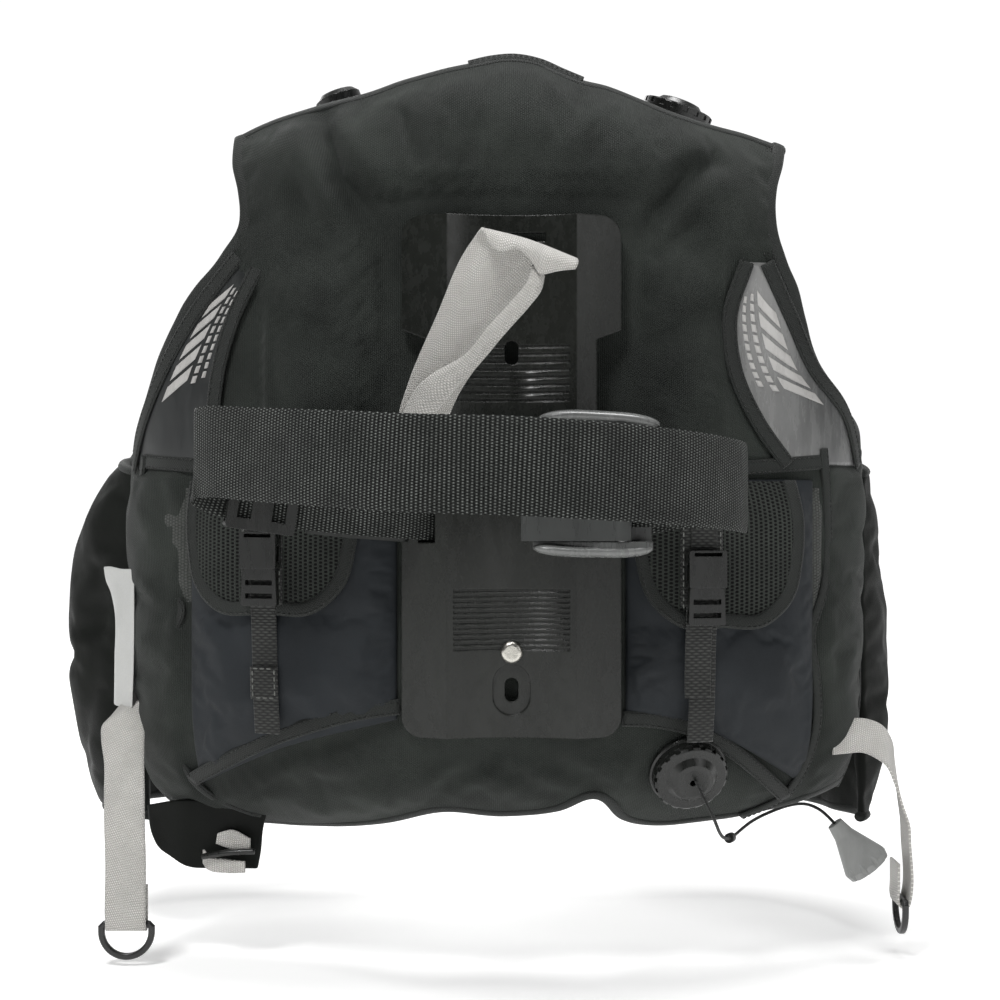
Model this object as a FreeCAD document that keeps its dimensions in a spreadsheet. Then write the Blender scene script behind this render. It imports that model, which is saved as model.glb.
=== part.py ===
import FreeCAD, Part
import math
import os
import Sketcher
from FreeCAD import Placement, Rotation, Vector

# Buoyancy compensator vest for scuba diving, hanging as it is worn.
# Row frame: +Z up, the back (tank side) faces -Y, +X to the right seen from behind.
# The origin is midway between the backplate's two adapter slots, on the face of its channel.
# Heights and places are in millimetres from that origin.

DRIVING_SIZES = {
    # backplate
    "plate_bottom": -127, "plate_height": 307, "plate_half_width": 65, "plate_thickness": 4,
    "channel_radius": 92, "ridge_reach": 38, "wing_rise": 6, "plate_corner": 12,
    "waist_half_width": 50, "waist_low": 54, "waist_high": 107, "waist_slant": 6,
    "slot_half_width": 4, "slot_half_run": 3, "slot_half_spacing": 99,
    "recess_half_width": 11, "recess_half_run": 4, "recess_depth": 1.2,
    "handle_slot_height": 167, "handle_slot_width": 40, "handle_slot_gap": 5,
    "band_slot_reach": 50, "band_slot_gap": 10, "band_slot_height": 53, "band_height": 14,
    "groove_reach": 34, "groove_depth": 0.7, "groove_width": 1.6,
    "high_groove_base": 72, "high_groove_pitch": 4.5, "high_groove_count": 8,
    "low_groove_base": -74, "low_groove_pitch": 3.1, "low_groove_count": 12,
    "bolt_height": -76.8, "bolt_head_radius": 6.5, "bolt_head_rise": 3.4, "bolt_shank_radius": 4,
    "bolt_shank_length": 9, "bolt_dome": 2.6, "bolt_hole_clearance": 0.2,
    # the vest's back as a surface
    "back_radius": 520, "back_offset": 10,
    "side_start_left": 194.3, "side_start_right": 173.2,
    "side_radius_left": 85, "side_radius_right": 80,
    "hem_bend_height": -105, "hem_bend_radius": 95,
    "shoulder_bend_radius": 80, "shoulder_bend_drop": 60,
    "skin": 1.5, "cell_start": 2, "cell_end": 22, "lining_start": 22.5, "pad_start": 24.5, "pad_end": 33,
    # tank band and what is on it
    "webbing_width": 50, "webbing_thickness": 2.5,
    "pad_height": 54, "pad_thickness": 4, "slider_height": 58, "slider_length": 40,
    "slider_x": -140, "slider_depth": 9, "slider_tunnel": 5, "band_tunnel": 51.5,
    # cam buckle
    "cam_x": 12, "cam_y": -26, "cam_z": 22, "cam_length": 68, "cam_height": 74, "cam_floor": 3,
    "cheek_width": 4, "cheek_depth": 18, "pin_inset": 18, "pin_rise": 14, "pin_radius": 3,
    "pin_clearance": 0.1, "cam_radius": 6, "lever_length": 53, "lever_thickness": 5,
    # side release buckles: sizes for a webbing width of one unit
    "buckle_side": 7, "buckle_head": 22, "buckle_tail": 22, "buckle_back": 0.6, "buckle_depth": 8.7,
    "buckle_tunnel_start": 2.4, "buckle_tunnel": 5.1, "buckle_wall": 2, "buckle_play": 0.3,
    "small_webbing": 16, "sternum_webbing": 25, "waist_webbing": 50, "strap_thickness": 1.5,
    "left_buckle_along": -144, "left_buckle_height": -28,
    "right_buckle_along": 110, "right_buckle_height": -39,
    "sternum_y": 238, "sternum_height": 150, "waist_y": 291, "waist_height": -60,
    # dump valve, in its own frame with +Z out of the vest
    "dump_along": 108, "dump_height": -150, "dump_lean": 28, "dump_turn": 12,
    "valve_flange": 24, "valve_flange_thickness": 2.5, "valve_seat_outer": 17, "valve_seat_inner": 14.5,
    "valve_seat_top": 7, "disc_radius": 12, "disc_hole": 1.3, "disc_thickness": 1.6, "disc_base": 3,
    "cap_base": 2.8, "cap_top": 14, "cap_radius": 22.5, "cap_wall": 2.2, "cap_hole": 2.2,
    "notch_count": 18, "notch_width": 3.2, "notch_depth": 2, "notch_rise": 5,
    "spring_radius": 8, "spring_wire": 0.5, "spring_pitch": 1.8, "spring_height": 5.2,
    "shoulder_slope": 20, "shoulder_valve_x": 103, "shoulder_valve_y": 86, "shoulder_valve_z": 251.8,
    # dump cord and knob
    "cord_radius": 1, "knob_x": 203, "knob_y": 74, "knob_z": -190, "knob_lean": 142,
    "knob_length": 35, "knob_small": 5, "knob_large": 15, "knob_bore": 1.25, "knob_bore_depth": 18,
    "flute_count": 10, "flute_radius": 2.2,
    "guide_length": 7, "guide_radius": 3, "guide_bore": 1.4,
    # inflator
    "inflator_x": -104, "inflator_y": 88, "inflator_z": 252, "inflator_flange_radius": 22,
    "inflator_flange_thickness": 3, "neck_radius": 13, "neck_bore": 9, "neck_top": 5,
    "elbow_base": 5.4, "elbow_radius": 14.5, "elbow_height": 14, "stub_radius": 6.8, "stub_length": 23.5,
    "port_radius": 9, "port_length": 19, "port_rise": 7.1,
    # hip straps and D-rings
    "valve_strap_width": 40, "valve_strap_thickness": 1.8,
    "hip_webbing": 25, "hip_webbing_folded": 22, "ring_wire": 4, "ring_width": 35, "ring_drop": 22,
    "ring_bar_clearance": 0.65, "ring_roller_radius": 2.4,
    "left_ring_x": -238, "left_ring_y": 60, "left_ring_z": -250,
    "right_ring_x": 247, "right_ring_y": 88, "right_ring_z": -240,
    # lobes, shoulder straps, pockets
    "lobe_bottom": -195, "lobe_half_thickness": 12, "strap_pad_width": 60, "strap_pad_thickness": 9,
    "shoulder_ladder_width": 46, "shoulder_ladder_height": 24, "shoulder_ladder_thickness": 5,
    "ladder_webbing": 38, "ladder_webbing_thickness": 1.6,
    "shoulder_ladder_x": 132, "shoulder_ladder_y": 239, "shoulder_ladder_z": 116,
    "pocket_bulge": 12, "flap_thickness": 3, "flap_corner": 26,
    "lobe_pocket_low": -158, "lobe_pocket_high": 6, "lobe_pocket_gap": 2.8, "lobe_pocket_skin": 1.5,
    "lobe_pocket_bulge": 10, "label_height": 87, "label_thickness": 0.6,
    "zip_slider_width": 8, "zip_slider_length": 12, "zip_slider_depth": 4, "zip_top": -8,
}

doc = FreeCAD.newDocument("BuoyancyVest")
sheet = doc.addObject("Spreadsheet::Sheet", "Sizes")
for row, (alias, number) in enumerate(DRIVING_SIZES.items(), start=1):
    sheet.set(f"A{row}", alias)
    sheet.set(f"B{row}", str(number))
    sheet.setAlias(f"B{row}", alias)
doc.recompute()


# ---------------------------------------------------------------- sizes that carry their expression

class Size:
    """A length with its value now and the sheet expression that gives it."""

    def __init__(self, value, text):
        self.value = value
        self.text = text

    def __add__(self, other):
        other = as_size(other)
        return Size(self.value + other.value, f"({self.text} + {other.text})")

    def __sub__(self, other):
        other = as_size(other)
        return Size(self.value - other.value, f"({self.text} - {other.text})")

    def __mul__(self, other):
        other = as_size(other)
        return Size(self.value * other.value, f"({self.text} * {other.text})")

    def __truediv__(self, other):
        other = as_size(other)
        return Size(self.value / other.value, f"({self.text} / {other.text})")

    def __neg__(self):
        return Size(-self.value, f"(0 - {self.text})")

    def __radd__(self, other):
        return as_size(other) + self

    def __rsub__(self, other):
        return as_size(other) - self


def as_size(thing):
    if isinstance(thing, Size):
        return thing
    text = str(thing) if thing >= 0 else f"(0 - {abs(thing)})"
    return Size(float(thing), text)


def size(alias):
    return Size(float(sheet.get(alias)), f"Sizes.{alias}")


def number(alias):
    return size(alias).value


def root(length):
    return Size(math.sqrt(length.value), f"sqrt({length.text})")


# ---------------------------------------------------------------- solids made feature by feature

parts = []


def new_body(name):
    body = doc.addObject("PartDesign::Body", name)
    body.Label = name
    parts.append(body)
    return body


def put(thing, x, y, z, rotation=Rotation()):
    """Place a sub-part, with its base bound to the sheet."""
    x, y, z = as_size(x), as_size(y), as_size(z)
    thing.Placement = Placement(Vector(x.value, y.value, z.value), rotation)
    for axis, length in (("x", x), ("y", y), ("z", z)):
        thing.setExpression(f"Placement.Base.{axis}", length.text)


def arc_middle(start, end, radius, side):
    """The middle of a circular arc between two points; side is +1 left of the chord, -1 right."""
    chord = end - start
    half = chord.Length / 2
    rise = radius - math.sqrt(max(radius * radius - half * half, 0.0))
    across = Vector(-chord.y, chord.x, 0).normalize()
    return (start + end) * 0.5 + across * (rise * side)


def add_outline(sketch, corners, arcs):
    """A closed outline whose corners and radii are bound to the sheet. arcs: {first corner: (radius, side)}."""
    places = [(as_size(x), as_size(y)) for x, y in corners]
    points = [Vector(x.value, y.value, 0) for x, y in places]
    first = sketch.GeometryCount
    count = len(points)
    for index in range(count):
        start, end = points[index], points[(index + 1) % count]
        if index in arcs:
            radius, side = arcs[index]
            middle = arc_middle(start, end, as_size(radius).value, side)
            sketch.addGeometry(Part.Arc(start, middle, end))
        else:
            sketch.addGeometry(Part.LineSegment(start, end))
    for index, (x, y) in enumerate(places):
        # an arc keeps its own direction, so the end that lies at this corner is looked up
        here, before = first + index, first + (index - 1) % count
        end_here = end_at(sketch, here, points[index])
        sketch.addConstraint(Sketcher.Constraint("Coincident", before, end_at(sketch, before, points[index]),
                                                 here, end_here))
        for kind, length in (("DistanceX", x), ("DistanceY", y)):
            made = sketch.addConstraint(Sketcher.Constraint(kind, -1, 1, here, end_here, length.value))
            sketch.setExpression(f"Constraints[{made}]", length.text)
    for index, (radius, side) in arcs.items():
        kind, ends, length = "Radius", (first + index,), as_size(radius)
        if abs(length.value - (points[(index + 1) % count] - points[index]).Length / 2) < 1e-6:
            # a half circle on a level chord is held by its centre's height instead
            kind, ends, length = "DistanceY", (-1, 1, first + index, 3), places[index][1]
        made = sketch.addConstraint(Sketcher.Constraint(kind, *ends, length.value))
        sketch.setExpression(f"Constraints[{made}]", length.text)


def end_at(sketch, geometry, point):
    """1 if the geometry's first end lies at the point, 2 if its second end does."""
    return 1 if (sketch.getPoint(geometry, 1) - point).Length < 1e-6 else 2


def add_circle(sketch, x, y, radius):
    x, y, radius = as_size(x), as_size(y), as_size(radius)
    made = sketch.addGeometry(Part.Circle(Vector(x.value, y.value, 0), Vector(0, 0, 1), radius.value))
    limits = (("DistanceX", (-1, 1, made, 3), x), ("DistanceY", (-1, 1, made, 3), y),
              ("Radius", (made,), radius))
    for kind, places, length in limits:
        held = sketch.addConstraint(Sketcher.Constraint(kind, *places, length.value))
        sketch.setExpression(f"Constraints[{held}]", length.text)


def sketch_on(body, role, lift=0):
    """A sketch on one of the body's own origin planes, lifted along the plane's normal."""
    plane = [feature for feature in body.Origin.OriginFeatures if feature.Role == role][0]
    sketch = body.newObject("Sketcher::SketchObject", body.Name + "_sketch")
    sketch.AttachmentSupport = [(plane, "")]
    sketch.MapMode = "FlatFace"
    lift = as_size(lift)
    sketch.AttachmentOffset = Placement(Vector(0, 0, lift.value), Rotation())
    sketch.setExpression("AttachmentOffset.Base.z", lift.text)
    doc.recompute()
    return sketch


def outline_on(body, role, corners, lift=0, arcs=None):
    sketch = sketch_on(body, role, lift)
    add_outline(sketch, corners, arcs or {})
    return sketch


def rectangle(x_low, x_high, y_low, y_high):
    return [(x_low, y_low), (x_high, y_low), (x_high, y_high), (x_low, y_high)]


def pad(body, sketch, length, back=False):
    feature = body.newObject("PartDesign::Pad", body.Name + "_pad")
    feature.Profile = sketch
    feature.setExpression("Length", as_size(length).text)
    feature.Reversed = back
    doc.recompute()
    return feature


def pocket(body, sketch, length=None, back=False):
    """Cut a sketch into the body, right through both ways when no length is given."""
    before = body.Shape.Volume
    feature = body.newObject("PartDesign::Pocket", body.Name + "_pocket")
    feature.Profile = sketch
    if length is None:
        feature.Type = "ThroughAll"
        feature.Midplane = True
    else:
        feature.setExpression("Length", as_size(length).text)
        feature.Reversed = back
    doc.recompute()
    if body.Shape.Volume > before - 1e-3:
        raise RuntimeError(f"{feature.Name} cuts nothing")
    return feature


def revolve(body, sketch):
    feature = body.newObject("PartDesign::Revolution", body.Name + "_revolution")
    feature.Profile = sketch
    feature.ReferenceAxis = (sketch, ["V_Axis"])
    feature.Angle = 360
    doc.recompute()
    return feature


def pattern_line(body, feature, sketch, length, count):
    pattern = body.newObject("PartDesign::LinearPattern", body.Name + "_row")
    pattern.Originals = [feature]
    pattern.Direction = (sketch, ["N_Axis"])
    pattern.setExpression("Length", as_size(length).text)
    pattern.setExpression("Occurrences", as_size(count).text)
    body.Tip = pattern
    doc.recompute()


def pattern_round(body, feature, sketch, count):
    pattern = body.newObject("PartDesign::PolarPattern", body.Name + "_ring")
    pattern.Originals = [feature]
    pattern.Axis = (sketch, ["N_Axis"])
    pattern.Angle = 360
    pattern.setExpression("Occurrences", as_size(count).text)
    body.Tip = pattern
    doc.recompute()


def round_edges(body, radius, wanted):
    base = body.Tip
    names = [f"Edge{index}" for index, edge in enumerate(base.Shape.Edges, start=1) if wanted(edge)]
    feature = body.newObject("PartDesign::Fillet", body.Name + "_fillet")
    feature.Base = (base, names)
    feature.setExpression("Radius", as_size(radius).text)
    doc.recompute()


def runs_along(edge, direction):
    """True for a straight edge parallel to the direction."""
    ends = edge.Vertexes
    if len(ends) != 2 or edge.Curve.TypeId != "Part::GeomLine":
        return False
    run = ends[1].Point - ends[0].Point
    return run.cross(direction).Length < 1e-6 * max(run.Length, 1)


def primitive(kind, name, **sizes):
    thing = doc.addObject(kind, name)
    for prop, length in sizes.items():
        thing.setExpression(prop, as_size(length).text)
    return thing


def as_part(thing, label):
    thing.Label = label
    parts.append(thing)
    return thing


def soft_part(name, *solids):
    """A sub-part whose shape is worked out here: a fabric, foam or webbing piece."""
    feature = doc.addObject("Part::Feature", name)
    feature.Shape = solids[0] if len(solids) == 1 else Part.makeCompound(list(solids))
    feature.Placement = Placement()
    return as_part(feature, name)


# ---------------------------------------------------------------- curved sheets and straps

def smooth(points, count):
    """Evenly spaced points on a smooth curve through the given ones."""
    curve = Part.BSplineCurve()
    curve.interpolate([Vector(*point) for point in points])
    return curve.discretize(Number=count)


def solid_between(front_grid, rear_grid):
    """A closed solid between two grids of points, with ruled sides."""
    surfaces = []
    for grid in (front_grid, rear_grid):
        surface = Part.BSplineSurface()
        surface.interpolate(grid)
        surfaces.append(surface)
    faces = [surface.toShape() for surface in surfaces]
    front, rear = surfaces
    front_span, rear_span = front.bounds(), rear.bounds()
    for index in range(2):
        along = (front.uIso(front_span[index]).toShape(), rear.uIso(rear_span[index]).toShape())
        across = (front.vIso(front_span[index + 2]).toShape(), rear.vIso(rear_span[index + 2]).toShape())
        # the 1 keeps both edges' own directions, which matters where a strap doubles back
        faces.append(Part.makeRuledSurface(*along, 1))
        faces.append(Part.makeRuledSurface(*across, 1))
    shell = Part.makeCompound(faces)
    shell.sewShape()
    solid = Part.Solid(shell.Shells[0])
    if solid.Volume < 0:
        solid.reverse()
    return solid


def directions(points):
    """Unit tangents of a line of points."""
    last = len(points) - 1
    return [(points[min(i + 1, last)] - points[max(i - 1, 0)]).normalize() for i in range(last + 1)]


def strip(line, ways, sides, width, thickness):
    """A flat solid along a line of points, with its directions and the directions of its width."""
    front, rear = [], []
    for point, ahead, side in zip(line, ways, sides):
        out = ahead.cross(side).normalize() * (thickness / 2)
        columns = [point + side * (width * step) for step in (-0.5, -0.17, 0.17, 0.5)]
        front.append([place + out for place in columns])
        rear.append([place - out for place in columns])
    return solid_between(front, rear)


def ribbon(route, across, width, thickness, count=40, across_end=None, run=None):
    """A flat strap along a route; across is the direction of its width, which may turn to across_end.

    A long strap is made in joined runs of so many points each."""
    start = Vector(*across).normalize()
    end = Vector(*across_end).normalize() if across_end else start
    line = smooth(route, count)
    ways = directions(line)
    sides = [(start * (1 - i / (count - 1)) + end * (i / (count - 1))).normalize() for i in range(count)]
    if run is None:
        return strip(line, ways, sides, width, thickness)
    pieces = []
    for first in range(0, count - 1, run):
        last = min(first + run, count - 1) + 1
        pieces.append(strip(line[first:last], ways[first:last], sides[first:last], width, thickness))
    return pieces[0].multiFuse(pieces[1:]).Solids[0]


# the upper edge of the back, as (distance along the back from its middle, height)
TOP_EDGE = [(-178, 236.5), (-167, 242), (-153, 247.5), (-130, 253), (-112, 257), (-92, 260.5), (-68, 268),
            (-44, 274), (-20, 279), (-6, 282), (6, 282), (18, 279.5), (30, 273), (43, 267.5), (60, 264.5),
            (80, 257.5), (101, 249.5), (122, 244), (146, 239.5), (177, 231)]
LEFT_EDGE = [(-285, -170), (-290, -60), (-290, 30), (-268, 52), (-245, 76), (-224, 109), (-200, 141),
             (-179, 163), (-168, 181), (-169, 200), (-175, 218), (-178, 236.5)]
RIGHT_EDGE = [(265, -170), (268, -60), (268, 40), (250, 56), (226, 68), (208, 82), (194, 97), (183.5, 122),
              (177.5, 143), (170, 158), (165.5, 171), (163, 187), (165, 203), (171, 217), (177, 231)]
HEM_EDGE = [(-285, -170), (-240, -186), (-193, -191), (-81, -188), (-42, -178), (-5, -181), (30, -177),
            (52, -169), (70, -184), (137, -187), (176, -180), (225, -172), (265, -170)]


def top_edge_height(along):
    """Height of the back's upper edge at a distance along the back."""
    low, high = TOP_EDGE[0], TOP_EDGE[-1]
    if along <= low[0] or along >= high[0]:
        return low[1] if along < 0 else high[1]
    for start, end in zip(TOP_EDGE, TOP_EDGE[1:]):
        if along <= end[0]:
            share = (along - start[0]) / (end[0] - start[0])
            return start[1] * (1 - share) + end[1] * share
    return high[1]


def ridge_height(along):
    """The upper edge's height, evened out, from which the shoulders' forward bend is measured."""
    return sum(top_edge_height(along + 8 * step) for step in range(-4, 5)) / 9


def back_plan(along):
    """A point of the back in plan and its inward direction: a wide arc, then a tight one round the side."""
    side = "left" if along < 0 else "right"
    reach, start = abs(along), number(f"side_start_{side}")
    radius, bend = number("back_radius"), number(f"side_radius_{side}")
    turn = min(reach, start) / radius
    x = radius * math.sin(turn)
    y = number("back_offset") + radius * (1 - math.cos(turn))
    if reach > start:
        further = turn + (reach - start) / bend
        x += bend * (math.sin(further) - math.sin(turn))
        y += bend * (math.cos(turn) - math.cos(further))
        turn = further
    sign = math.copysign(1, along)
    return Vector(sign * x, y, 0), Vector(-sign * math.sin(turn), math.cos(turn), 0)


def lean(distance, radius):
    """How far a quarter-round bend has moved forward after a distance along its start direction."""
    share = min(max(distance / radius, 0), 0.93)
    return radius * (1 - math.sqrt(1 - share * share))


def back_surface(along, height):
    """The vest's back: it leans forward over the shoulders and curls under at the hem."""
    point, inward = back_plan(along)
    shoulder_start = ridge_height(along) - number("shoulder_bend_drop")
    forward = lean(height - shoulder_start, number("shoulder_bend_radius"))
    forward += lean(number("hem_bend_height") - height, number("hem_bend_radius"))
    shift = Vector(0.4 * inward.x, 0.55 + 0.45 * inward.y, 0)
    return point + Vector(0, 0, height) + shift * forward


def back_inward(along, height, step=2.0):
    run = back_surface(along + step, height) - back_surface(along - step, height)
    rise = back_surface(along, height + step) - back_surface(along, height - step)
    return rise.cross(run).normalize()


def back_point(along, height, depth):
    """A point at a depth into the vest from its back; a negative depth stands out of it."""
    return back_surface(along, height) + back_inward(along, height) * depth


def patch_points(left, right, low, high, columns, rows):
    """A grid of (along, height) points inside four meeting edges (a Coons patch)."""
    def flat(edge, count):
        return smooth([(along, height, 0) for along, height in edge], count)

    left, right = flat(left, rows), flat(right, rows)
    low, high = flat(low, columns), flat(high, columns)
    grid = []
    for i in range(columns):
        u = i / (columns - 1)
        line = []
        for j in range(rows):
            v = j / (rows - 1)
            sides = left[j] * (1 - u) + right[j] * u
            ends = low[i] * (1 - v) + high[i] * v
            corners = (low[0] * (1 - u) + low[-1] * u) * (1 - v) + (high[0] * (1 - u) + high[-1] * u) * v
            line.append((u, v, sides + ends - corners))
        grid.append(line)
    return grid


def sheet_on_back(edges, outer, inner, columns=17, rows=21):
    """A solid on the back between two depths, each a number or a function of (u, v, along, height)."""
    def depth(rule, u, v, place):
        return rule(u, v, place.x, place.y) if callable(rule) else rule

    grid = patch_points(*edges, columns, rows)
    front = [[back_point(p.x, p.y, depth(outer, u, v, p)) for u, v, p in line] for line in grid]
    rear = [[back_point(p.x, p.y, depth(inner, u, v, p)) for u, v, p in line] for line in grid]
    return solid_between(front, rear)


def rise_from(distance, run):
    """0 at an edge, smoothly 1 once the distance from it reaches run."""
    return math.sin(math.pi / 2 * min(max(distance / run, 0), 1))


def ease(step):
    """0 to 1 with a level start and end."""
    step = min(max(step, 0), 1)
    return step * step * (3 - 2 * step)


def straight_edge(start, end):
    """An edge with a middle, so that a smooth curve can pass through it."""
    middle = ((start[0] + end[0]) / 2, (start[1] + end[1]) / 2)
    return [start, middle, end]


def box_edges(left, right, low, high):
    return (straight_edge((left, low), (left, high)), straight_edge((right, low), (right, high)),
            straight_edge((left, low), (right, low)), straight_edge((left, high), (right, high)))


# ---------------------------------------------------------------- backplate and its bolt

def make_backplate():
    """A moulded plate with a hollow channel for the tank between two ridges, and wings that slope away."""
    plate = new_body("backplate")
    radius, thick = size("channel_radius"), size("plate_thickness")
    ridge, half = size("ridge_reach"), size("plate_half_width")
    ridge_y = root(radius * radius - ridge * ridge) - radius
    inner_radius = radius + thick
    inner_y = root(inner_radius * inner_radius - ridge * ridge) - radius
    section = [(-half, size("wing_rise")), (-ridge, ridge_y), (ridge, ridge_y), (half, size("wing_rise")),
               (half, size("wing_rise") + thick), (ridge, inner_y), (-ridge, inner_y),
               (-half, size("wing_rise") + thick)]
    arcs = {1: (radius, 1), 5: (inner_radius, -1)}
    pad(plate, outline_on(plate, "XY_Plane", section, size("plate_bottom"), arcs), size("plate_height"))

    # everything outside the waisted outline is cut away
    low, high = size("plate_bottom"), size("plate_bottom") + size("plate_height")
    waist, slant, corner = size("waist_half_width"), size("waist_slant"), size("plate_corner")
    right = [(half - corner, low), (half, low + corner), (half, size("waist_low") - slant),
             (waist, size("waist_low")), (waist, size("waist_high")), (half, size("waist_high") + slant),
             (half, high - corner), (half - corner, high)]
    outline = right + [(-x, z) for x, z in reversed(right)]
    around = outline_on(plate, "XZ_Plane", rectangle(-half - 9, half + 9, low - 9, high + 9))
    add_outline(around, outline, {index: (corner, -1) for index in (0, 6, 8, 14)})
    pocket(plate, around)

    # slots for the adapter, the handle, the tank band and the bolt
    holes = sketch_on(plate, "XZ_Plane")
    width, run = size("slot_half_width"), size("slot_half_run")
    for sign in (-1, 1):
        centre = size("slot_half_spacing") * sign
        add_outline(holes, rectangle(-width, width, centre - run, centre + run),
                    {0: (width, -1), 2: (width, -1)})
        reach, gap = size("band_slot_reach") * sign, size("band_slot_gap") / 2
        tall = size("band_slot_height") / 2
        add_outline(holes, rectangle(reach - gap, reach + gap, size("band_height") - tall,
                                     size("band_height") + tall), {})
    handle, gap = size("handle_slot_width") / 2, size("handle_slot_gap") / 2
    add_outline(holes, rectangle(-handle, handle, size("handle_slot_height") - gap,
                                 size("handle_slot_height") + gap), {})
    add_circle(holes, 0, size("bolt_height"), size("bolt_shank_radius") + size("bolt_hole_clearance"))
    pocket(plate, holes)

    # a shallow oval recess round the lower adapter slot, cut from the channel's face
    wide, tall, centre = size("recess_half_width"), size("recess_half_run"), -size("slot_half_spacing")
    recess = outline_on(plate, "XZ_Plane", rectangle(-wide, wide, centre - tall, centre + tall), 1,
                        {0: (wide, -1), 2: (wide, -1)})
    pocket(plate, recess, size("recess_depth") + 1)

    # two rows of grooves across the channel
    reach, shallow = size("groove_reach"), radius - 0.5
    deep = radius + size("groove_depth")
    section = [(-reach, root(shallow * shallow - reach * reach) - radius),
               (reach, root(shallow * shallow - reach * reach) - radius),
               (reach, root(deep * deep - reach * reach) - radius),
               (-reach, root(deep * deep - reach * reach) - radius)]
    for place in ("high", "low"):
        count, pitch = size(f"{place}_groove_count"), size(f"{place}_groove_pitch")
        groove = outline_on(plate, "XY_Plane", section, size(f"{place}_groove_base"),
                            {0: (shallow, 1), 2: (deep, -1)})
        cut = pocket(plate, groove, size("groove_width"))
        pattern_line(plate, cut, groove, pitch * (count - 1), count)


def make_plate_bolt():
    """A dome-headed bolt: its head stands on the channel's face."""
    bolt = new_body("plate_bolt")
    head, shank = size("bolt_head_radius"), size("bolt_shank_radius")
    rise, length = size("bolt_head_rise"), size("bolt_shank_length")
    profile = [(0, rise), (head - size("bolt_dome"), rise), (head, rise - size("bolt_dome")), (head, 0.3),
               (shank, 0.3), (shank, -length), (0, -length)]
    revolve(bolt, outline_on(bolt, "XZ_Plane", profile, 0, {1: (size("bolt_dome"), 1)}))
    put(bolt, 0, 0, size("bolt_height"), Rotation(Vector(1, 0, 0), 90))


# ---------------------------------------------------------------- tank band, pad, slider, cam buckle

BAND_ROUTE = [(76, -20, 22), (88, -20.5, 22), (95, -15.5, 21), (86, -10.5, 19), (71, -9, 16.5), (57, -5.5, 15),
              (48, 1.5, 14), (41, 5.6, 14), (30, 7.3, 14), (14, 8, 14), (-14, 8, 14), (-30, 7.3, 14),
              (-41, 5.6, 14), (-48, 1.5, 14), (-57, -5.5, 14.6), (-68, -11.7, 15.5), (-92, -19.8, 17.5),
              (-118, -28.6, 20.5), (-144, -37.4, 24), (-158, -42.3, 27), (-168, -47.5, 31),
              (-174, -54, 35), (-175.5, -63, 38), (-168, -76, 39), (-140, -104, 37), (-95, -140, 34),
              (-45, -162, 31), (-5, -167, 30), (35, -158, 28), (80, -130, 25), (112, -95, 22),
              (126, -72, 20), (130, -58, 19), (126, -46, 20), (114, -37, 21), (96, -32.6, 22),
              (76, -31.3, 22), (50, -31, 22), (16, -31, 22)]


def make_band():
    width, thick = number("webbing_width"), number("webbing_thickness")
    soft_part("tank_band", ribbon(BAND_ROUTE, (0, 0, 1), width, thick, 131, run=13))
    # the pad lies on the tank side of the band's left run, the slider further out on it
    line = smooth(BAND_ROUTE, 700)
    run = [point for point in line if -121 < point.x < -58 and point.y > -60]
    away = thick / 2 + 0.6 + number("pad_thickness") / 2
    route = []
    for point, ahead in list(zip(run, directions(run)))[::12]:
        route.append(point + ahead.cross(Vector(0, 0, 1)).normalize() * away)
    soft_part("band_pad", ribbon(route, (0, 0, 1), number("pad_height"), number("pad_thickness"), 16))
    make_band_slider(line)


def make_band_slider(line):
    """A moulded keeper that the band runs through, square to the band there."""
    ways = directions(line)
    place = min(range(len(line)), key=lambda i: abs(line[i].x - number("slider_x")) + abs(line[i].y + 37))
    seat, toward = line[place], ways[place] * -1
    turn = Rotation(Vector(0, 0, 1), math.degrees(math.atan2(toward.y, toward.x)))
    tilt = Rotation(Vector(0, 1, 0), -math.degrees(math.asin(toward.z)))
    slider = new_body("band_slider")
    length, tall = size("slider_length") / 2, size("slider_height") / 2
    deep, tunnel = size("slider_depth") / 2, size("slider_tunnel") / 2
    pad(slider, outline_on(slider, "XZ_Plane", rectangle(-length, length, -tall, tall), -deep),
        size("slider_depth"))
    high = size("band_tunnel") / 2
    pocket(slider, outline_on(slider, "YZ_Plane", rectangle(-tunnel, tunnel, -high, high)))
    window = sketch_on(slider, "XZ_Plane", deep)
    for sign in (-1, 1):
        middle = length * 0.5 * sign
        add_outline(window, rectangle(middle - 4, middle + 4, -high + 3, high - 3), {})
    pocket(slider, window, deep)
    round_edges(slider, 2.5, lambda edge: runs_along(edge, Vector(0, 1, 0))
                and abs(abs(edge.Vertexes[0].X) - length.value) < 0.1
                and abs(abs(edge.Vertexes[0].Z) - tall.value) < 0.1)
    put(slider, round(seat.x, 1), round(seat.y, 1), round(seat.z, 1), turn * tilt)


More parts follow.
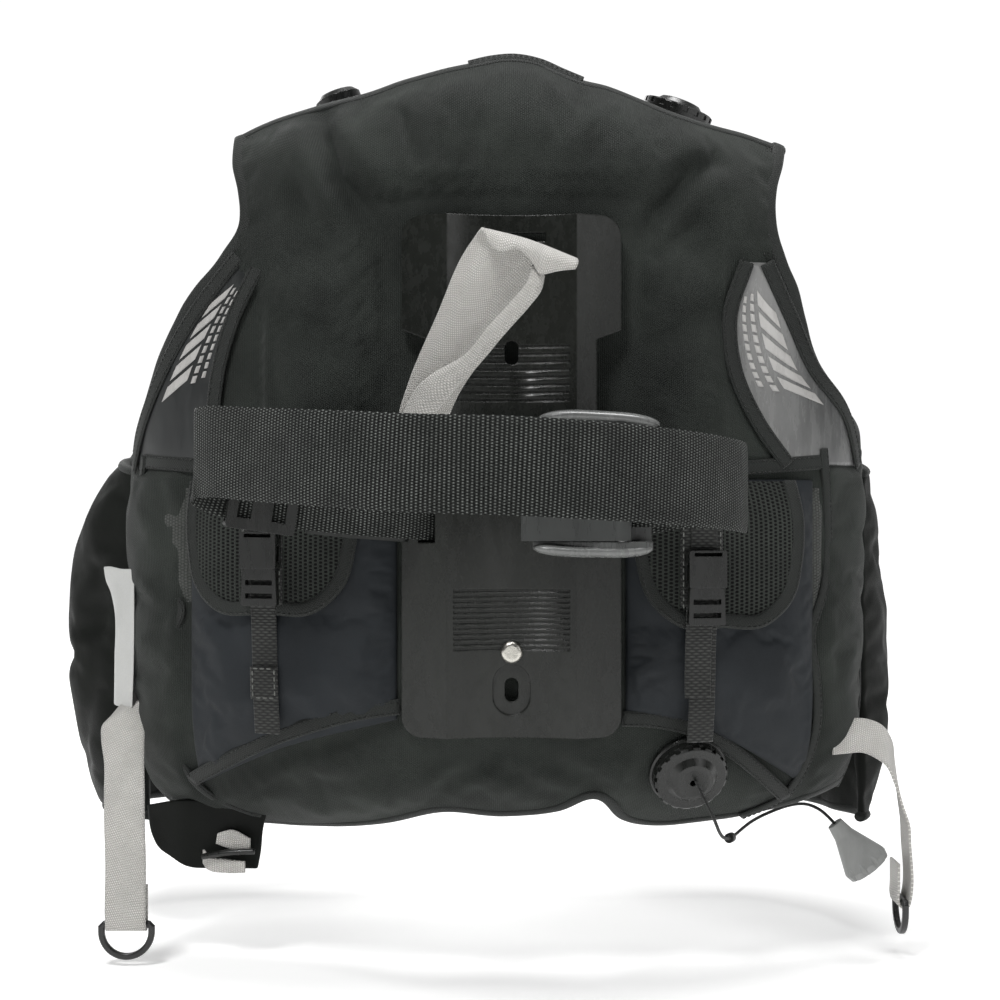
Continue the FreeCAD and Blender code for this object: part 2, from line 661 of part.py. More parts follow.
def make_cam_buckle():
    """A frame with two cheeks, a pin through them, and a lever whose cam grips the band."""
    length, tall, floor = size("cam_length"), size("cam_height") / 2, size("cam_floor")
    cheek, deep = size("cheek_width"), size("cheek_depth")
    base = (size("cam_x"), size("cam_y"), size("cam_z"))
    frame = new_body("cam_buckle_frame")
    side = [(0, 0), (length, 0), (length, deep - 4), (length - 4, deep), (length - 30, deep), (0, floor + 3)]
    pad(frame, cam_sketch(frame, side, -tall), size("cam_height"))
    inner = [(-1, floor), (length + 1, floor), (length + 1, deep + 1), (-1, deep + 1)]
    pocket(frame, cam_sketch(frame, inner, tall - cheek), size("cam_height") - cheek * 2)
    pin = sketch_on(frame, "XY_Plane")
    pin_x, pin_y = length - size("pin_inset"), -size("pin_rise")
    add_circle(pin, pin_x, pin_y, size("pin_radius") + size("pin_clearance"))
    pocket(frame, pin)
    put(frame, *base)

    made = as_part(primitive("Part::Cylinder", "cam_buckle_pin", Radius=size("pin_radius"),
                             Height=size("cam_height")), "cam_buckle_pin")
    put(made, base[0] + pin_x, base[1] + pin_y, base[2] - tall)

    lever = new_body("cam_buckle_lever")
    reach, half = size("lever_length"), size("lever_thickness") / 2
    inside = tall - cheek - 0.4
    eye = sketch_on(lever, "XY_Plane", -inside)
    add_circle(eye, 0, 0, size("cam_radius"))
    pad(lever, eye, inside * 2)
    arm = [(0, -half - 2), (0, half + 1), (-reach * 0.3, half - 1), (-reach, half - 1), (-reach - 4, -1),
           (-reach, -half - 1), (-reach * 0.5, -half - 2)]
    pad(lever, outline_on(lever, "XY_Plane", arm, -inside), inside * 2)
    bore = sketch_on(lever, "XY_Plane")
    add_circle(bore, 0, 0, size("pin_radius") + size("pin_clearance"))
    pocket(lever, bore)
    put(lever, base[0] + pin_x, base[1] + pin_y, base[2])


def cam_sketch(frame, side, lift):
    """The cam buckle's side view lies in plan, with its depth towards -Y."""
    return outline_on(frame, "XY_Plane", [(x, -as_size(y)) for x, y in side], lift)


# ---------------------------------------------------------------- side release buckles

def make_buckle(name_female, name_male, webbing, place, rotation):
    """A female half with side windows, and a male half with two arms, a tongue and a ladder for the webbing."""
    scale = size(webbing) / size("small_webbing")
    half = (size(webbing) + size("buckle_side")) / 2
    wall, play = size("buckle_wall"), size("buckle_play")
    back, deep = size("buckle_back"), size("buckle_depth")
    start, tunnel = size("buckle_tunnel_start"), size("buckle_tunnel")
    head = size("buckle_head") * (scale + 1) / 2
    tail = size("buckle_tail") * (scale + 1) / 2

    female = new_body(name_female)
    pad(female, outline_on(female, "XZ_Plane", rectangle(-half, half, 0, head), back), deep)
    inside = half - wall
    mouth = outline_on(female, "XY_Plane", rectangle(-inside, inside, -start - tunnel, -start))
    pocket(female, mouth, head - 5, True)
    window = outline_on(female, "YZ_Plane",
                        rectangle(-start - tunnel + play, -start - play, head * 0.2, head * 0.62))
    pocket(female, window)
    loop = size(webbing) / 2 + 0.5
    pocket(female, outline_on(female, "XZ_Plane", rectangle(-loop, loop, head - 3.4, head - 1.2)))
    round_edges(female, 1.2, lambda edge: runs_along(edge, Vector(0, 1, 0))
                and abs(abs(edge.Vertexes[0].X) - half.value) < 0.1)
    put(female, *place, rotation)

    male = new_body(name_male)
    reach, tip = inside - play, head - 6
    arm, tongue = size(webbing) * 0.14, size(webbing) * 0.1
    right = [(half, -tail), (half - 1, -0.2), (reach, -0.2), (reach, tip - 2), (reach - arm, tip),
             (reach - arm, 2), (tongue, 2), (tongue, tip)]
    comb = right + [(-x, z) for x, z in reversed(right)]
    pad(male, outline_on(male, "XZ_Plane", comb, start + play), tunnel - play * 2)
    ladder = sketch_on(male, "XZ_Plane")
    for low in (tail * 0.3, tail * 0.66):
        add_outline(ladder, rectangle(-loop, loop, -low - 3, -low), {})
    pocket(male, ladder)
    round_edges(male, 2, lambda edge: runs_along(edge, Vector(0, 1, 0))
                and edge.Vertexes[0].Z < -tail.value + 0.1)
    put(male, *place, rotation)


# depth of the rear pockets: a bulging bag with a sloping bottom edge
POCKETS = {
    "left": {"sides": (-200, -68), "low": [(-200, -163), (-140, -137), (-68, -118)], "top": 25,
             "flap": (-194, -93, -52)},
    "right": {"sides": (68, 188), "low": [(68, -116), (110, -123), (188, -163)], "top": 25,
              "flap": (76, 169, -60)},
}


def pocket_height(side, along, height):
    """How far the rear pocket stands out of the back at a place on it."""
    shape = POCKETS[side]
    left, right = shape["sides"]
    first, middle, last = shape["low"]
    start, end = (first, middle) if along < middle[0] else (middle, last)
    low = start[1] + (end[1] - start[1]) * (along - start[0]) / (end[0] - start[0])
    bulge = rise_from(along - left, 30) * rise_from(right - along, 30)
    bulge *= rise_from(height - low, 30) * rise_from(shape["top"] - height, 30)
    return 1.6 + number("pocket_bulge") * bulge


def make_rear_pockets():
    for side, shape in POCKETS.items():
        left, right = shape["sides"]
        low, top = shape["low"], shape["top"]
        edges = (straight_edge(low[0], (left, top)), straight_edge(low[-1], (right, top)), low,
                 straight_edge((left, top), (right, top)))
        soft_part(f"trim_pocket_{side}",
                  sheet_on_back(edges, lambda u, v, s, z, side=side: -pocket_height(side, s, z) - 0.4, -0.4,
                                25, 31))
        make_flap(side, *shape["flap"], top)


def make_flap(side, left, right, low, top):
    """A mesh flap over the pocket, its lower corners rounded off."""
    corner = number("flap_corner")
    left_edge = [(left + corner * 0.9, low + 1), (left + corner * 0.25, low + corner * 0.6),
                 (left, low + corner * 1.5), (left, top - 1)]
    right_edge = [(right - corner * 0.9, low + 1), (right - corner * 0.25, low + corner * 0.6),
                  (right, low + corner * 1.5), (right, top - 1)]
    edges = (left_edge, right_edge, straight_edge(left_edge[0], right_edge[0]),
             straight_edge(left_edge[-1], right_edge[-1]))

    def inner(u, v, along, height):
        return -pocket_height(side, along, height) - 1.4

    def outer(u, v, along, height):
        return inner(u, v, along, height) - number("flap_thickness")

    soft_part(f"pocket_flap_{side}", sheet_on_back(edges, outer, inner, 21, 21))


def make_rear_buckles():
    """Small buckles over the flaps, and the straps that run under their tails."""
    ends = {"left": (22, -127), "right": (20, -131)}
    for side, (top, bottom) in ends.items():
        along, height = size(f"{side}_buckle_along"), size(f"{side}_buckle_height")
        turn = abs(along.value) / number("back_radius")
        turn = math.copysign(math.degrees(turn), along.value)
        seat = back_point(along.value, height.value, -number("pocket_bulge") - number("flap_thickness") - 4.0)
        rotation = Rotation(Vector(0, 0, 1), turn)
        make_buckle(f"rear_buckle_female_{side}", f"rear_buckle_male_{side}", "small_webbing",
                    (round(seat.x, 1), round(seat.y, 1), height), rotation)
        half, thick = number("small_webbing") / 2, number("strap_thickness")
        head = number("buckle_head")
        solids = []
        for low, high in ((height.value + head + 0.5, top), (bottom, height.value - 3)):
            solid = Part.makeBox(half * 2, thick, high - low, Vector(-half, -0.5 - thick, low - height.value))
            solids.append(solid)
        strap = soft_part(f"rear_strap_{side}", *solids)
        strap.Placement = Placement(Vector(round(seat.x, 1), round(seat.y, 1), height.value), rotation)


# ---------------------------------------------------------------- valves

def make_valve(prefix, body_name, place, rotation):
    """A relief valve: flange and seat, a notched cap, and inside them a disc held down by a spring."""
    flange, seat_out, seat_in = size("valve_flange"), size("valve_seat_outer"), size("valve_seat_inner")
    flat, seat_top = size("valve_flange_thickness"), size("valve_seat_top")
    body = new_body(body_name)
    profile = [(5, 0), (flange, 0), (flange, flat - 1), (flange - 1, flat), (seat_out, flat),
               (seat_out, seat_top), (seat_in, seat_top), (seat_in, flat), (5, flat)]
    revolve(body, outline_on(body, "XZ_Plane", profile))
    put(body, *place, rotation)

    disc = new_body(f"{prefix}_valve_disc")
    low, thick = size("disc_base"), size("disc_thickness")
    hole, wide = size("disc_hole"), size("disc_radius")
    profile = [(hole, low), (wide, low), (wide, low + thick), (hole, low + thick)]
    revolve(disc, outline_on(disc, "XZ_Plane", profile))
    put(disc, *place, rotation)

    cap = new_body(f"{prefix}_valve_cap")
    base, top, radius = size("cap_base"), size("cap_top"), size("cap_radius")
    wall, hole = size("cap_wall"), size("cap_hole")
    dome = radius * 0.66
    profile = [(hole, top - 0.4), (hole, top - wall - 0.4), (dome - 3, top - wall - 1), (dome, top - wall - 3),
               (radius - wall, top - wall - 4), (radius - wall, base), (radius, base), (radius, top - 5),
               (radius - 1.5, top - 4), (dome + 1, top - 4), (dome - 2.5, top - 0.6), (dome - 5, top)]
    revolve(cap, outline_on(cap, "XZ_Plane", profile))
    width, deep = size("notch_width") / 2, size("notch_depth")
    notch = outline_on(cap, "XY_Plane", rectangle(radius - deep + 1, radius + 2, -width, width), top - 3)
    cut = pocket(cap, notch, size("notch_rise"))
    pattern_round(cap, cut, notch, size("notch_count"))
    put(cap, *place, rotation)

    spring = new_body(f"{prefix}_valve_spring")
    wire = size("spring_wire")
    ring = sketch_on(spring, "XZ_Plane")
    add_circle(ring, size("spring_radius"), low + thick + wire + 0.1, wire)
    helix = spring.newObject("PartDesign::AdditiveHelix", f"{prefix}_helix")
    helix.Profile = ring
    helix.ReferenceAxis = (ring, ["V_Axis"])
    helix.Mode = 0
    helix.setExpression("Pitch", size("spring_pitch").text)
    helix.setExpression("Height", (size("spring_height") - wire * 2).text)
    doc.recompute()
    put(spring, *place, rotation)


def dump_seat():
    """Where the dump valve's flange stands on the back, and how it is turned."""
    point = back_point(number("dump_along"), number("dump_height"), -1.0)
    tilt = Rotation(Vector(0, 0, 1), number("dump_turn")) * Rotation(Vector(1, 0, 0), 90 + number("dump_lean"))
    return point, tilt


# the pull cord: from under the disc, out of the cap, down to its guide under the hem, along it to the knob
def cord_route():
    seat, tilt = dump_seat()
    out = tilt.multVec(Vector(0, 0, 1))
    start = seat + out * number("disc_base")
    knob_top = Vector(number("knob_x"), number("knob_y"), number("knob_z"))
    down = knob_axis()
    route = [start, seat + out * 12, seat + out * 19 + Vector(1, 0, -2)]
    for point in ((120, 8, -176), (125, 20, -188), (131, 40, -194), (138, 60, -195.5), (145, 77, -194),
                  (154, 88, -190), (166, 91, -185), (178, 87, -180), (188, 80, -178.5)):
        route.append(Vector(*point))
    route.append(knob_top - down * 7)
    route.append(knob_top + down * 8)
    return route


def knob_axis():
    return knob_rotation().multVec(Vector(0, 0, 1))


def knob_rotation():
    return Rotation(Vector(0, 1, 0), number("knob_lean"))


def tube(route, radius, name):
    """A cord's solid: straight runs joined by the largest tangent arcs that they allow."""
    last = route[0]
    edges, radii = [], []
    for before, corner, after in zip(route, route[1:], route[2:]):
        incoming, outgoing = corner - before, after - corner
        turn = incoming.getAngle(outgoing)
        cut = 0.45 * min(incoming.Length, outgoing.Length)
        radii.append(cut / math.tan(turn / 2))
        arc_start = corner - incoming.normalize() * cut
        arc_end = corner + outgoing.normalize() * cut
        middle = (arc_start + arc_end) * 0.5
        centre_way = (middle - corner).normalize()
        sagitta = radii[-1] / math.cos(turn / 2) - radii[-1]
        edges.append(Part.LineSegment(last, arc_start).toShape())
        edges.append(Part.Arc(arc_start, corner + centre_way * sagitta, arc_end).toShape())
        last = arc_end
    edges.append(Part.LineSegment(last, route[-1]).toShape())
    path = Part.Wire(edges)
    ahead = route[1] - route[0]
    ring = Part.Wire([Part.Circle(route[0], ahead, radius).toShape()])
    solid = path.makePipeShell([ring], True, True)
    expected = math.pi * radius * radius * path.Length
    if abs(solid.Volume - expected) > 0.02 * expected:
        raise RuntimeError(f"{name}: volume {solid.Volume:.0f}, section times length {expected:.0f}")
    print(name, "length", round(path.Length, 1), "radii", [round(value, 1) for value in radii])
    return solid


def make_dump_valve():
    seat, tilt = dump_seat()
    place = tuple(round(value, 2) for value in seat)
    make_valve("dump", "dump_valve_body", place, tilt)
    route = cord_route()
    soft_part("dump_pull_cord", tube(route, number("cord_radius"), "dump_pull_cord"))

    knob = new_body("dump_pull_knob")
    small, large, length = size("knob_small"), size("knob_large"), size("knob_length")
    bore, deep = size("knob_bore"), size("knob_bore_depth")
    profile = [(bore, 0), (small, 0), (small + 1.5, length * 0.25), (large - 1, length * 0.8),
               (large, length * 0.88), (large - 1, length), (0, length), (0, deep), (bore, deep)]
    revolve(knob, outline_on(knob, "XZ_Plane", profile))
    groove = sketch_on(knob, "XY_Plane", length + 1)
    add_circle(groove, large + size("flute_radius") * 0.3, 0, size("flute_radius"))
    cut = pocket(knob, groove, length)
    pattern_round(knob, cut, groove, size("flute_count"))
    put(knob, size("knob_x"), size("knob_y"), size("knob_z"), knob_rotation())

    # the guide stands on the straight run under the hem
    start, end = route[5], route[6]
    guide = new_body("cord_guide")
    ring = sketch_on(guide, "XY_Plane", -size("guide_length") / 2)
    add_circle(ring, 0, 0, size("guide_radius"))
    add_circle(ring, 0, 0, size("guide_bore"))
    pad(guide, ring, size("guide_length"))
    middle = (start + end) * 0.5
    put(guide, round(middle.x, 2), round(middle.y, 2), round(middle.z, 2),
        Rotation(Vector(0, 0, 1), end - start))


def make_inflator():
    """A flange with a neck, and an elbow that turns on it with a port for the hose."""
    flange = new_body("inflator_flange")
    radius, flat = size("inflator_flange_radius"), size("inflator_flange_thickness")
    neck, bore, top = size("neck_radius"), size("neck_bore"), size("neck_top")
    profile = [(bore, 0), (radius, 0), (radius, flat - 1), (radius - 1, flat), (neck, flat), (neck, top),
               (bore, top)]
    revolve(flange, outline_on(flange, "XZ_Plane", profile))
    place = (size("inflator_x"), size("inflator_y"), size("inflator_z"))
    slope = Rotation(Vector(0, 1, 0), -number("shoulder_slope"))
    put(flange, *place, slope)

    elbow = new_body("inflator_elbow")
    low, wide, tall = size("elbow_base"), size("elbow_radius"), size("elbow_height")
    profile = [(0, low), (wide, low), (wide, low + tall - 3), (wide - 3, low + tall), (0, low + tall)]
    revolve(elbow, outline_on(elbow, "XZ_Plane", profile))
    for radius, start, length in (("stub_radius", 0, size("stub_length")),
                                  ("port_radius", size("stub_length"), size("port_length"))):
        port = sketch_on(elbow, "XZ_Plane", start * -1)
        add_circle(port, 0, low + size("port_rise"), size(radius))
        pad(elbow, port, length, True)
    put(elbow, *place, slope)


# ---------------------------------------------------------------- D-rings, straps, lobes, body of the vest

def make_d_ring(name, place, rotation):
    """A D-ring that hangs from its straight bar; the bar lies along local X through the origin."""
    ring = new_body(name)
    wire, half, drop = size("ring_wire"), size("ring_width") / 2, size("ring_drop")
    out = wire / 2
    shape = [(half - 3, out), (-half + 3, out), (-half, out - 3), (-half, -drop + half), (half, -drop + half),
             (half, out - 3)]
    inner = half - wire
    hollow = [(inner, -out), (-inner, -out), (-inner, -drop + half), (inner, -drop + half)]
    sketch = outline_on(ring, "XZ_Plane", shape, -out, {3: (half, -1)})
    add_outline(sketch, hollow, {2: (inner, -1)})
    pad(ring, sketch, wire)
    round_edges(ring, 1.2, lambda edge: edge.BoundBox.YLength < 0.01)
    roller = sketch_on(ring, "YZ_Plane", -inner)
    add_circle(roller, 0, 0, size("ring_roller_radius"))
    pad(ring, roller, inner * 2)
    put(ring, *place, rotation)


def hanging_strap(x, y, z, top_route, across):
    """Webbing that comes down from above, turns round a bar at (x, y, z) and goes a little way back up."""
    turn = number("ring_wire") / 2 + number("ring_bar_clearance") + number("strap_thickness") / 2
    side = Vector(*across).cross(Vector(0, 0, 1))
    route = list(top_route)
    middle = Vector(x, y, z)
    route.append(tuple(middle + side * turn + Vector(0, 0, 40)))
    for step in range(0, 7):
        angle = math.pi * step / 6
        point = middle + side * (turn * math.cos(angle)) - Vector(0, 0, turn * math.sin(angle))
        route.append(tuple(point))
    route.append(tuple(middle - side * turn + Vector(0, 0, 10)))
    route.append(tuple(middle - side * turn + Vector(0, 0, 24)))
    return ribbon(route, across, number("hip_webbing"), number("strap_thickness"), 240)


def make_hip_straps():
    x, y, z = (number(f"left_ring_{axis}") for axis in "xyz")
    top = [(x - 1, y + 24, -98), (x - 2, y + 12, -112), (x - 1, y - 1, -135), (x, y - 3.4, -170)]
    soft_part("hip_strap_left", hanging_strap(x, y, z, top, (-1, 0, 0)))
    make_d_ring("hip_dring_left", (x, y, z), Rotation())
    x, y, z = (number(f"right_ring_{axis}") for axis in "xyz")
    top = [(x + 3, y, -141), (x + 3.4, y, -150), (x + 3.4, y, -163), (x + 3.4, y, -178)]
    first, second = back_point(203, -132, -2.3), back_point(216, -132, -2.6)
    reach = [tuple(first), tuple(second), (228, 72, -133), (240, 77, -135), (249, 80, -137)]
    along_seam = back_point(203, -121, 0) - back_point(203, -143, 0)
    soft_part("hip_strap_right", hanging_strap(x, y, z, top, (0, 1, 0)),
              ribbon(reach, along_seam, number("hip_webbing_folded"), number("strap_thickness"), 12, (0, 0, 1)))
    make_d_ring("hip_dring_right", (x, y, z), Rotation(Vector(0, 0, 1), 90))


# plan of each side lobe, from the side seam round to the front, and its upper edge there
LOBE_PLAN = {
    "left": [(-238, 137), (-253, 144), (-271, 162), (-279, 187), (-266, 218), (-236, 244), (-196, 260),
             (-145, 269), (-95, 274)],
    "right": [(229, 129), (237, 140), (243, 157), (242, 185), (233, 216), (214, 242), (184, 259), (140, 268),
              (95, 272)],
}
# how far each lobe stands out past its plan at a height, where it passes the wearer's side
LOBE_LEAN = {
    "left": [(-195, -4), (-164, 0), (-137, 6), (-110, 11), (-83, 14), (-55, 12), (-28, 8), (-15, 5), (-1, 1),
             (12, -5), (26, -12), (40, -22)],
    "right": [(-195, -22), (-155, -8), (-120, 1), (-90, 3), (-60, 0), (-36, -6), (-22, -12), (-8, -19),
              (15, -22), (40, -26)],
}
LOBE_TOP = [(0, 30), (0.2, 38), (0.45, 58), (0.7, 82), (0.85, 90), (1, 88)]


def lobe_top(share):
    line = LOBE_TOP
    for (start, low), (end, high) in zip(line, line[1:]):
        if share <= end:
            return low + (high - low) * ease((share - start) / (end - start))
    return line[-1][1]


def lobe_lean(side, share, height):
    """The lean at a height, full at the wearer's side and fading towards both ends of the lobe."""
    table = LOBE_LEAN[side]
    height = min(max(height, table[0][0]), table[-1][0])
    for (low, first), (high, last) in zip(table, table[1:]):
        if height <= high:
            amount = first + (last - first) * (height - low) / (high - low)
            break
    return amount * ease(share / 0.25) * ease((0.85 - share) / 0.4)


def lobe_sheet(side, first, last, low, high, near, far, columns=21, rows=13):
    """A sheet along a lobe's plan between two shares of its length, at two offsets from its middle.

    high is a height or None for the lobe's own upper edge; offsets are positive outwards."""
    line = smooth([(x, y, 0) for x, y in LOBE_PLAN[side]], 201)
    ways = directions(line)
    sign = 1 if side == "left" else -1
    grids = ([], [])
    for i in range(columns):
        share = first + (last - first) * i / (columns - 1)
        index = round(share * 200)
        out = ways[index].cross(Vector(0, 0, 1)) * -sign
        top = lobe_top(share) if high is None else high
        for grid, offset in zip(grids, (far, near)):
            column = []
            for j in range(rows):
                v = j / (rows - 1)
                u = i / (columns - 1)
                height = low + (top - low) * v
                amount = offset(u, v) if callable(offset) else offset
                amount += lobe_lean(side, share, height)
                column.append(line[index] + out * amount + Vector(0, 0, height))
            grid.append(column)
    return solid_between(*grids)


def pillow(u, v, least, edge=0.12):
    """A cushion's fullness: least at the edges of a unit square, 1 inside it."""
    full = rise_from(min(u, 1 - u), edge) * rise_from(min(v, 1 - v), edge)
    return least + (1 - least) * full


def make_lobes():
    half = number("lobe_half_thickness")
    for side in ("left", "right"):
        soft_part(f"lobe_{side}", lobe_sheet(side, 0, 1, number("lobe_bottom"), None,
                                             lambda u, v: -half * pillow(u, v, 0.35),
                                             lambda u, v: half * pillow(u, v, 0.35)))
        near = half + number("lobe_pocket_gap")
        soft_part(f"lobe_pocket_{side}",
                  lobe_sheet(side, 0.56, 0.86, number("lobe_pocket_low"), number("lobe_pocket_high"), near,
                             lambda u, v: near + number("lobe_pocket_skin")
                             + number("lobe_pocket_bulge") * pillow(u, v, 0.1), 13, 11))
        make_zip_slider(side, half)


def make_zip_slider(side, half):
    """The slider of a lobe pocket's upright zip, with its pull tab."""
    line = smooth([(x, y, 0) for x, y in LOBE_PLAN[side]], 201)
    index = round(0.895 * 200)
    sign = 1 if side == "left" else -1
    ahead = directions(line)[index]
    out = ahead.cross(Vector(0, 0, 1)) * -sign
    seat = line[index] + out * (half + 1.0)
    width, length, deep = size("zip_slider_width") / 2, size("zip_slider_length") / 2, size("zip_slider_depth")
    slider = new_body(f"zip_slider_{side}")
    body = [(-width * 0.6, -length), (width * 0.6, -length), (width, length), (-width, length)]
    pad(slider, outline_on(slider, "XZ_Plane", body), deep * 0.55)
    tab = rectangle(-width * 0.5, width * 0.5, -length * 2.6, length * 0.4)
    pad(slider, outline_on(slider, "XZ_Plane", tab, deep * 0.5), deep * 0.3)
    turn = math.degrees(math.atan2(out.x, -out.y))
    put(slider, round(seat.x, 2), round(seat.y, 2), size("zip_top"), Rotation(Vector(0, 0, 1), turn))


STRAP_PROFILE = [(77, 239), (90, 241), (112, 241), (148, 231), (184, 208), (211, 174), (226, 150), (231, 132)]


def make_shoulder_straps():
    """Padded straps over the shoulders, each ending in a ladder buckle whose webbing reaches the lobe."""
    width, thick = number("strap_pad_width"), number("strap_pad_thickness")
    ladders = []
    for side, sign in (("left", -1), ("right", 1)):
        route = []
        for index, (y, z) in enumerate(STRAP_PROFILE):
            x = 115 + 17 * index / (len(STRAP_PROFILE) - 1)
            route.append((sign * x, y, z))
        pad_solid = ribbon(route, (0.94, 0, -0.34 * sign), width, thick, 30, (1, 0, 0))
        x = number("shoulder_ladder_x")
        webbing = [(sign * x, 243.5, 128), (sign * x, 245, 116), (sign * x, 249, 104), (sign * x, 262, 94)]
        tape = ribbon(webbing, (1, 0, 0), number("ladder_webbing"), number("ladder_webbing_thickness"), 12)
        soft_part(f"shoulder_strap_{side}", pad_solid, tape)
        ladders.append(ladder_buckle(f"ladder_{side}", sign))
    pair = doc.addObject("Part::Compound", "shoulder_buckles")
    pair.Links = ladders
    as_part(pair, "shoulder_buckles")


def ladder_buckle(name, sign):
    """A ladder-lock frame: a plate with two slots for the webbing."""
    width, tall, thick = (size(f"shoulder_ladder_{kind}") for kind in ("width", "height", "thickness"))
    plate = primitive("Part::Box", name + "_plate", Length=width, Width=thick, Height=tall)
    cuts = []
    for index, share in enumerate((0.2, 0.62)):
        cut = primitive("Part::Box", f"{name}_slot_{index}", Length=width - 7, Width=thick * 2,
                        Height=tall * 0.2)
        put(cut, 3.5, thick * -0.5, tall * share)
        cuts.append(cut)
    slots = doc.addObject("Part::MultiFuse", name + "_slots")
    slots.Shapes = cuts
    ladder = doc.addObject("Part::Cut", name)
    ladder.Base = plate
    ladder.Tool = slots
    centre = size("shoulder_ladder_x") * sign
    put(ladder, centre - width / 2, size("shoulder_ladder_y") - thick / 2, size("shoulder_ladder_z") - tall / 2)
    return ladder


def make_front_straps():
    """The sternum strap between the shoulder straps and the waist belt between the lobes."""
    facing_front = Rotation(Vector(0, 0, -1), Vector(0, -1, 0), Vector(-1, 0, 0), "ZXY")
    y, z, web = number("sternum_y"), number("sternum_height"), number("sternum_webbing")
    solids = []
    for start, end in ((-150, -34), (10, 150)):
        solids.append(Part.makeBox(end - start, number("strap_thickness"), web, Vector(start, y + 0.4, z - web / 2)))
    soft_part("sternum_straps", *solids)
    make_buckle("sternum_buckle_female", "sternum_buckle_male", "sternum_webbing",
                (0, size("sternum_y"), size("sternum_height")), facing_front)
    y, z, web = number("waist_y"), number("waist_height"), number("waist_webbing")
    for side, start, end in (("left", -118, -48), ("right", 10, 118)):
        route = [(start, y + 1.2, z), ((start + end) / 2, y + 1.2, z), (end, y + 1.2, z)]
        soft_part(f"waist_belt_{side}", ribbon(route, (0, 0, 1), web, number("strap_thickness"), 12))
    make_buckle("waist_buckle_female", "waist_buckle_male", "waist_webbing",
                (0, size("waist_y"), size("waist_height")), facing_front)


def cell_depth(u, v, along, height):
    start, end = number("cell_start"), number("cell_end")
    return start + (end - start) * pillow(u, v, 0.55, 0.1)


def make_vest_back():
    """Outer skin, air cell, lining and pad, one behind the other."""
    edges = (LEFT_EDGE, RIGHT_EDGE, HEM_EDGE, TOP_EDGE)
    skin = number("skin")
    soft_part("back_shell_outer", sheet_on_back(edges, 0, skin, 33, 33))
    soft_part("air_cell_back", sheet_on_back(edges, number("cell_start"), cell_depth, 33, 33))
    lining = number("lining_start")
    soft_part("back_shell_lining", sheet_on_back(edges, lining, lining + skin, 33, 33))
    soft_part("back_pad", sheet_on_back(box_edges(-105, 105, -110, 150), number("pad_start"), number("pad_end")))
    collar = ([(-66, 200), (-66, 228), (-66, 253)], [(60, 200), (60, 225), (58, 249)],
              [(-66, 200), (0, 195), (60, 200)], [(-66, 253), (-26, 265), (6, 268), (34, 261), (58, 249)])
    soft_part("collar_pad", sheet_on_back(collar, number("pad_start"), number("pad_end") + 5, 13, 9))


def make_side_patches():
    """Leaf-shaped vinyl patches below the armholes, sewn on the outer skin."""
    left = ([(-262, 32), (-250, 52), (-226, 87), (-196, 128), (-168, 160)],
            [(-180, 32), (-184, 52), (-182, 85), (-172, 120), (-152, 158)],
            straight_edge((-262, 32), (-180, 32)), straight_edge((-168, 160), (-152, 158)))
    right = ([(170, 34), (150, 60), (135, 92), (132, 122), (143, 156)],
             [(236, 34), (219, 64), (188, 93), (172, 124), (156, 156)],
             straight_edge((170, 34), (236, 34)), straight_edge((143, 156), (156, 156)))
    soft_part("side_patches", *[sheet_on_back(edges, -2.2, -0.9, 11, 13) for edges in (left, right)])


VALVE_STRAP_ROUTE = [(-55, -20, 50), (-51, -27, 72), (-37, -44, 105), (-15, -60, 136), (0, -68, 151), (5, -74, 155),
                     (6, -81, 151), (-1, -84, 135), (-19, -80, 110), (-40, -66, 86), (-55, -47, 68), (-62, -32, 56)]


def make_valve_strap():
    soft_part("valve_strap", ribbon(VALVE_STRAP_ROUTE, (0.93, 0, -0.37), number("valve_strap_width"),
                                    number("valve_strap_thickness"), 120))


def make_labels():
    """A blank care label on the left side, and a small blank tag on each side seam."""
    care = ribbon([(-236, 74, -74), (-247, 88, -74), (-257, 103, -74), (-262, 112, -74)], (0, 0, 1),
                  number("label_height"), number("label_thickness"), 12)
    left = sheet_on_back(box_edges(-226, -220, -108, -84), -1.0, -0.4, 5, 5)
    right = sheet_on_back(box_edges(212, 219, -114, -86), -0.9, -0.4, 5, 5)
    soft_part("labels", care, left, right)


make_backplate()
make_plate_bolt()
make_band()
make_cam_buckle()
make_valve_strap()
make_vest_back()
make_side_patches()
make_rear_pockets()
make_rear_buckles()
make_dump_valve()
make_valve("shoulder", "shoulder_valve_body",
           (size("shoulder_valve_x"), size("shoulder_valve_y"), size("shoulder_valve_z")),
           Rotation(Vector(0, 1, 0), number("shoulder_slope")) * Rotation(Vector(1, 0, 0), 6))
make_inflator()
make_lobes()
make_shoulder_straps()
make_front_straps()
make_hip_straps()
make_labels()

doc.recompute()
for thing in doc.Objects:
    if "Invalid" in thing.State or "Error" in thing.State:
        raise RuntimeError(f"{thing.Name} failed: {thing.State}")
for part in parts:
    if part.Shape.isNull() or not part.Shape.isValid():
        raise RuntimeError(f"{part.Label} has no valid shape")
os.makedirs("parts", exist_ok=True)
for part in parts:
    part.Shape.exportStep(os.path.join("parts", f"{part.Label}.step"))
print(len(parts), "parts written")
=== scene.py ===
import math

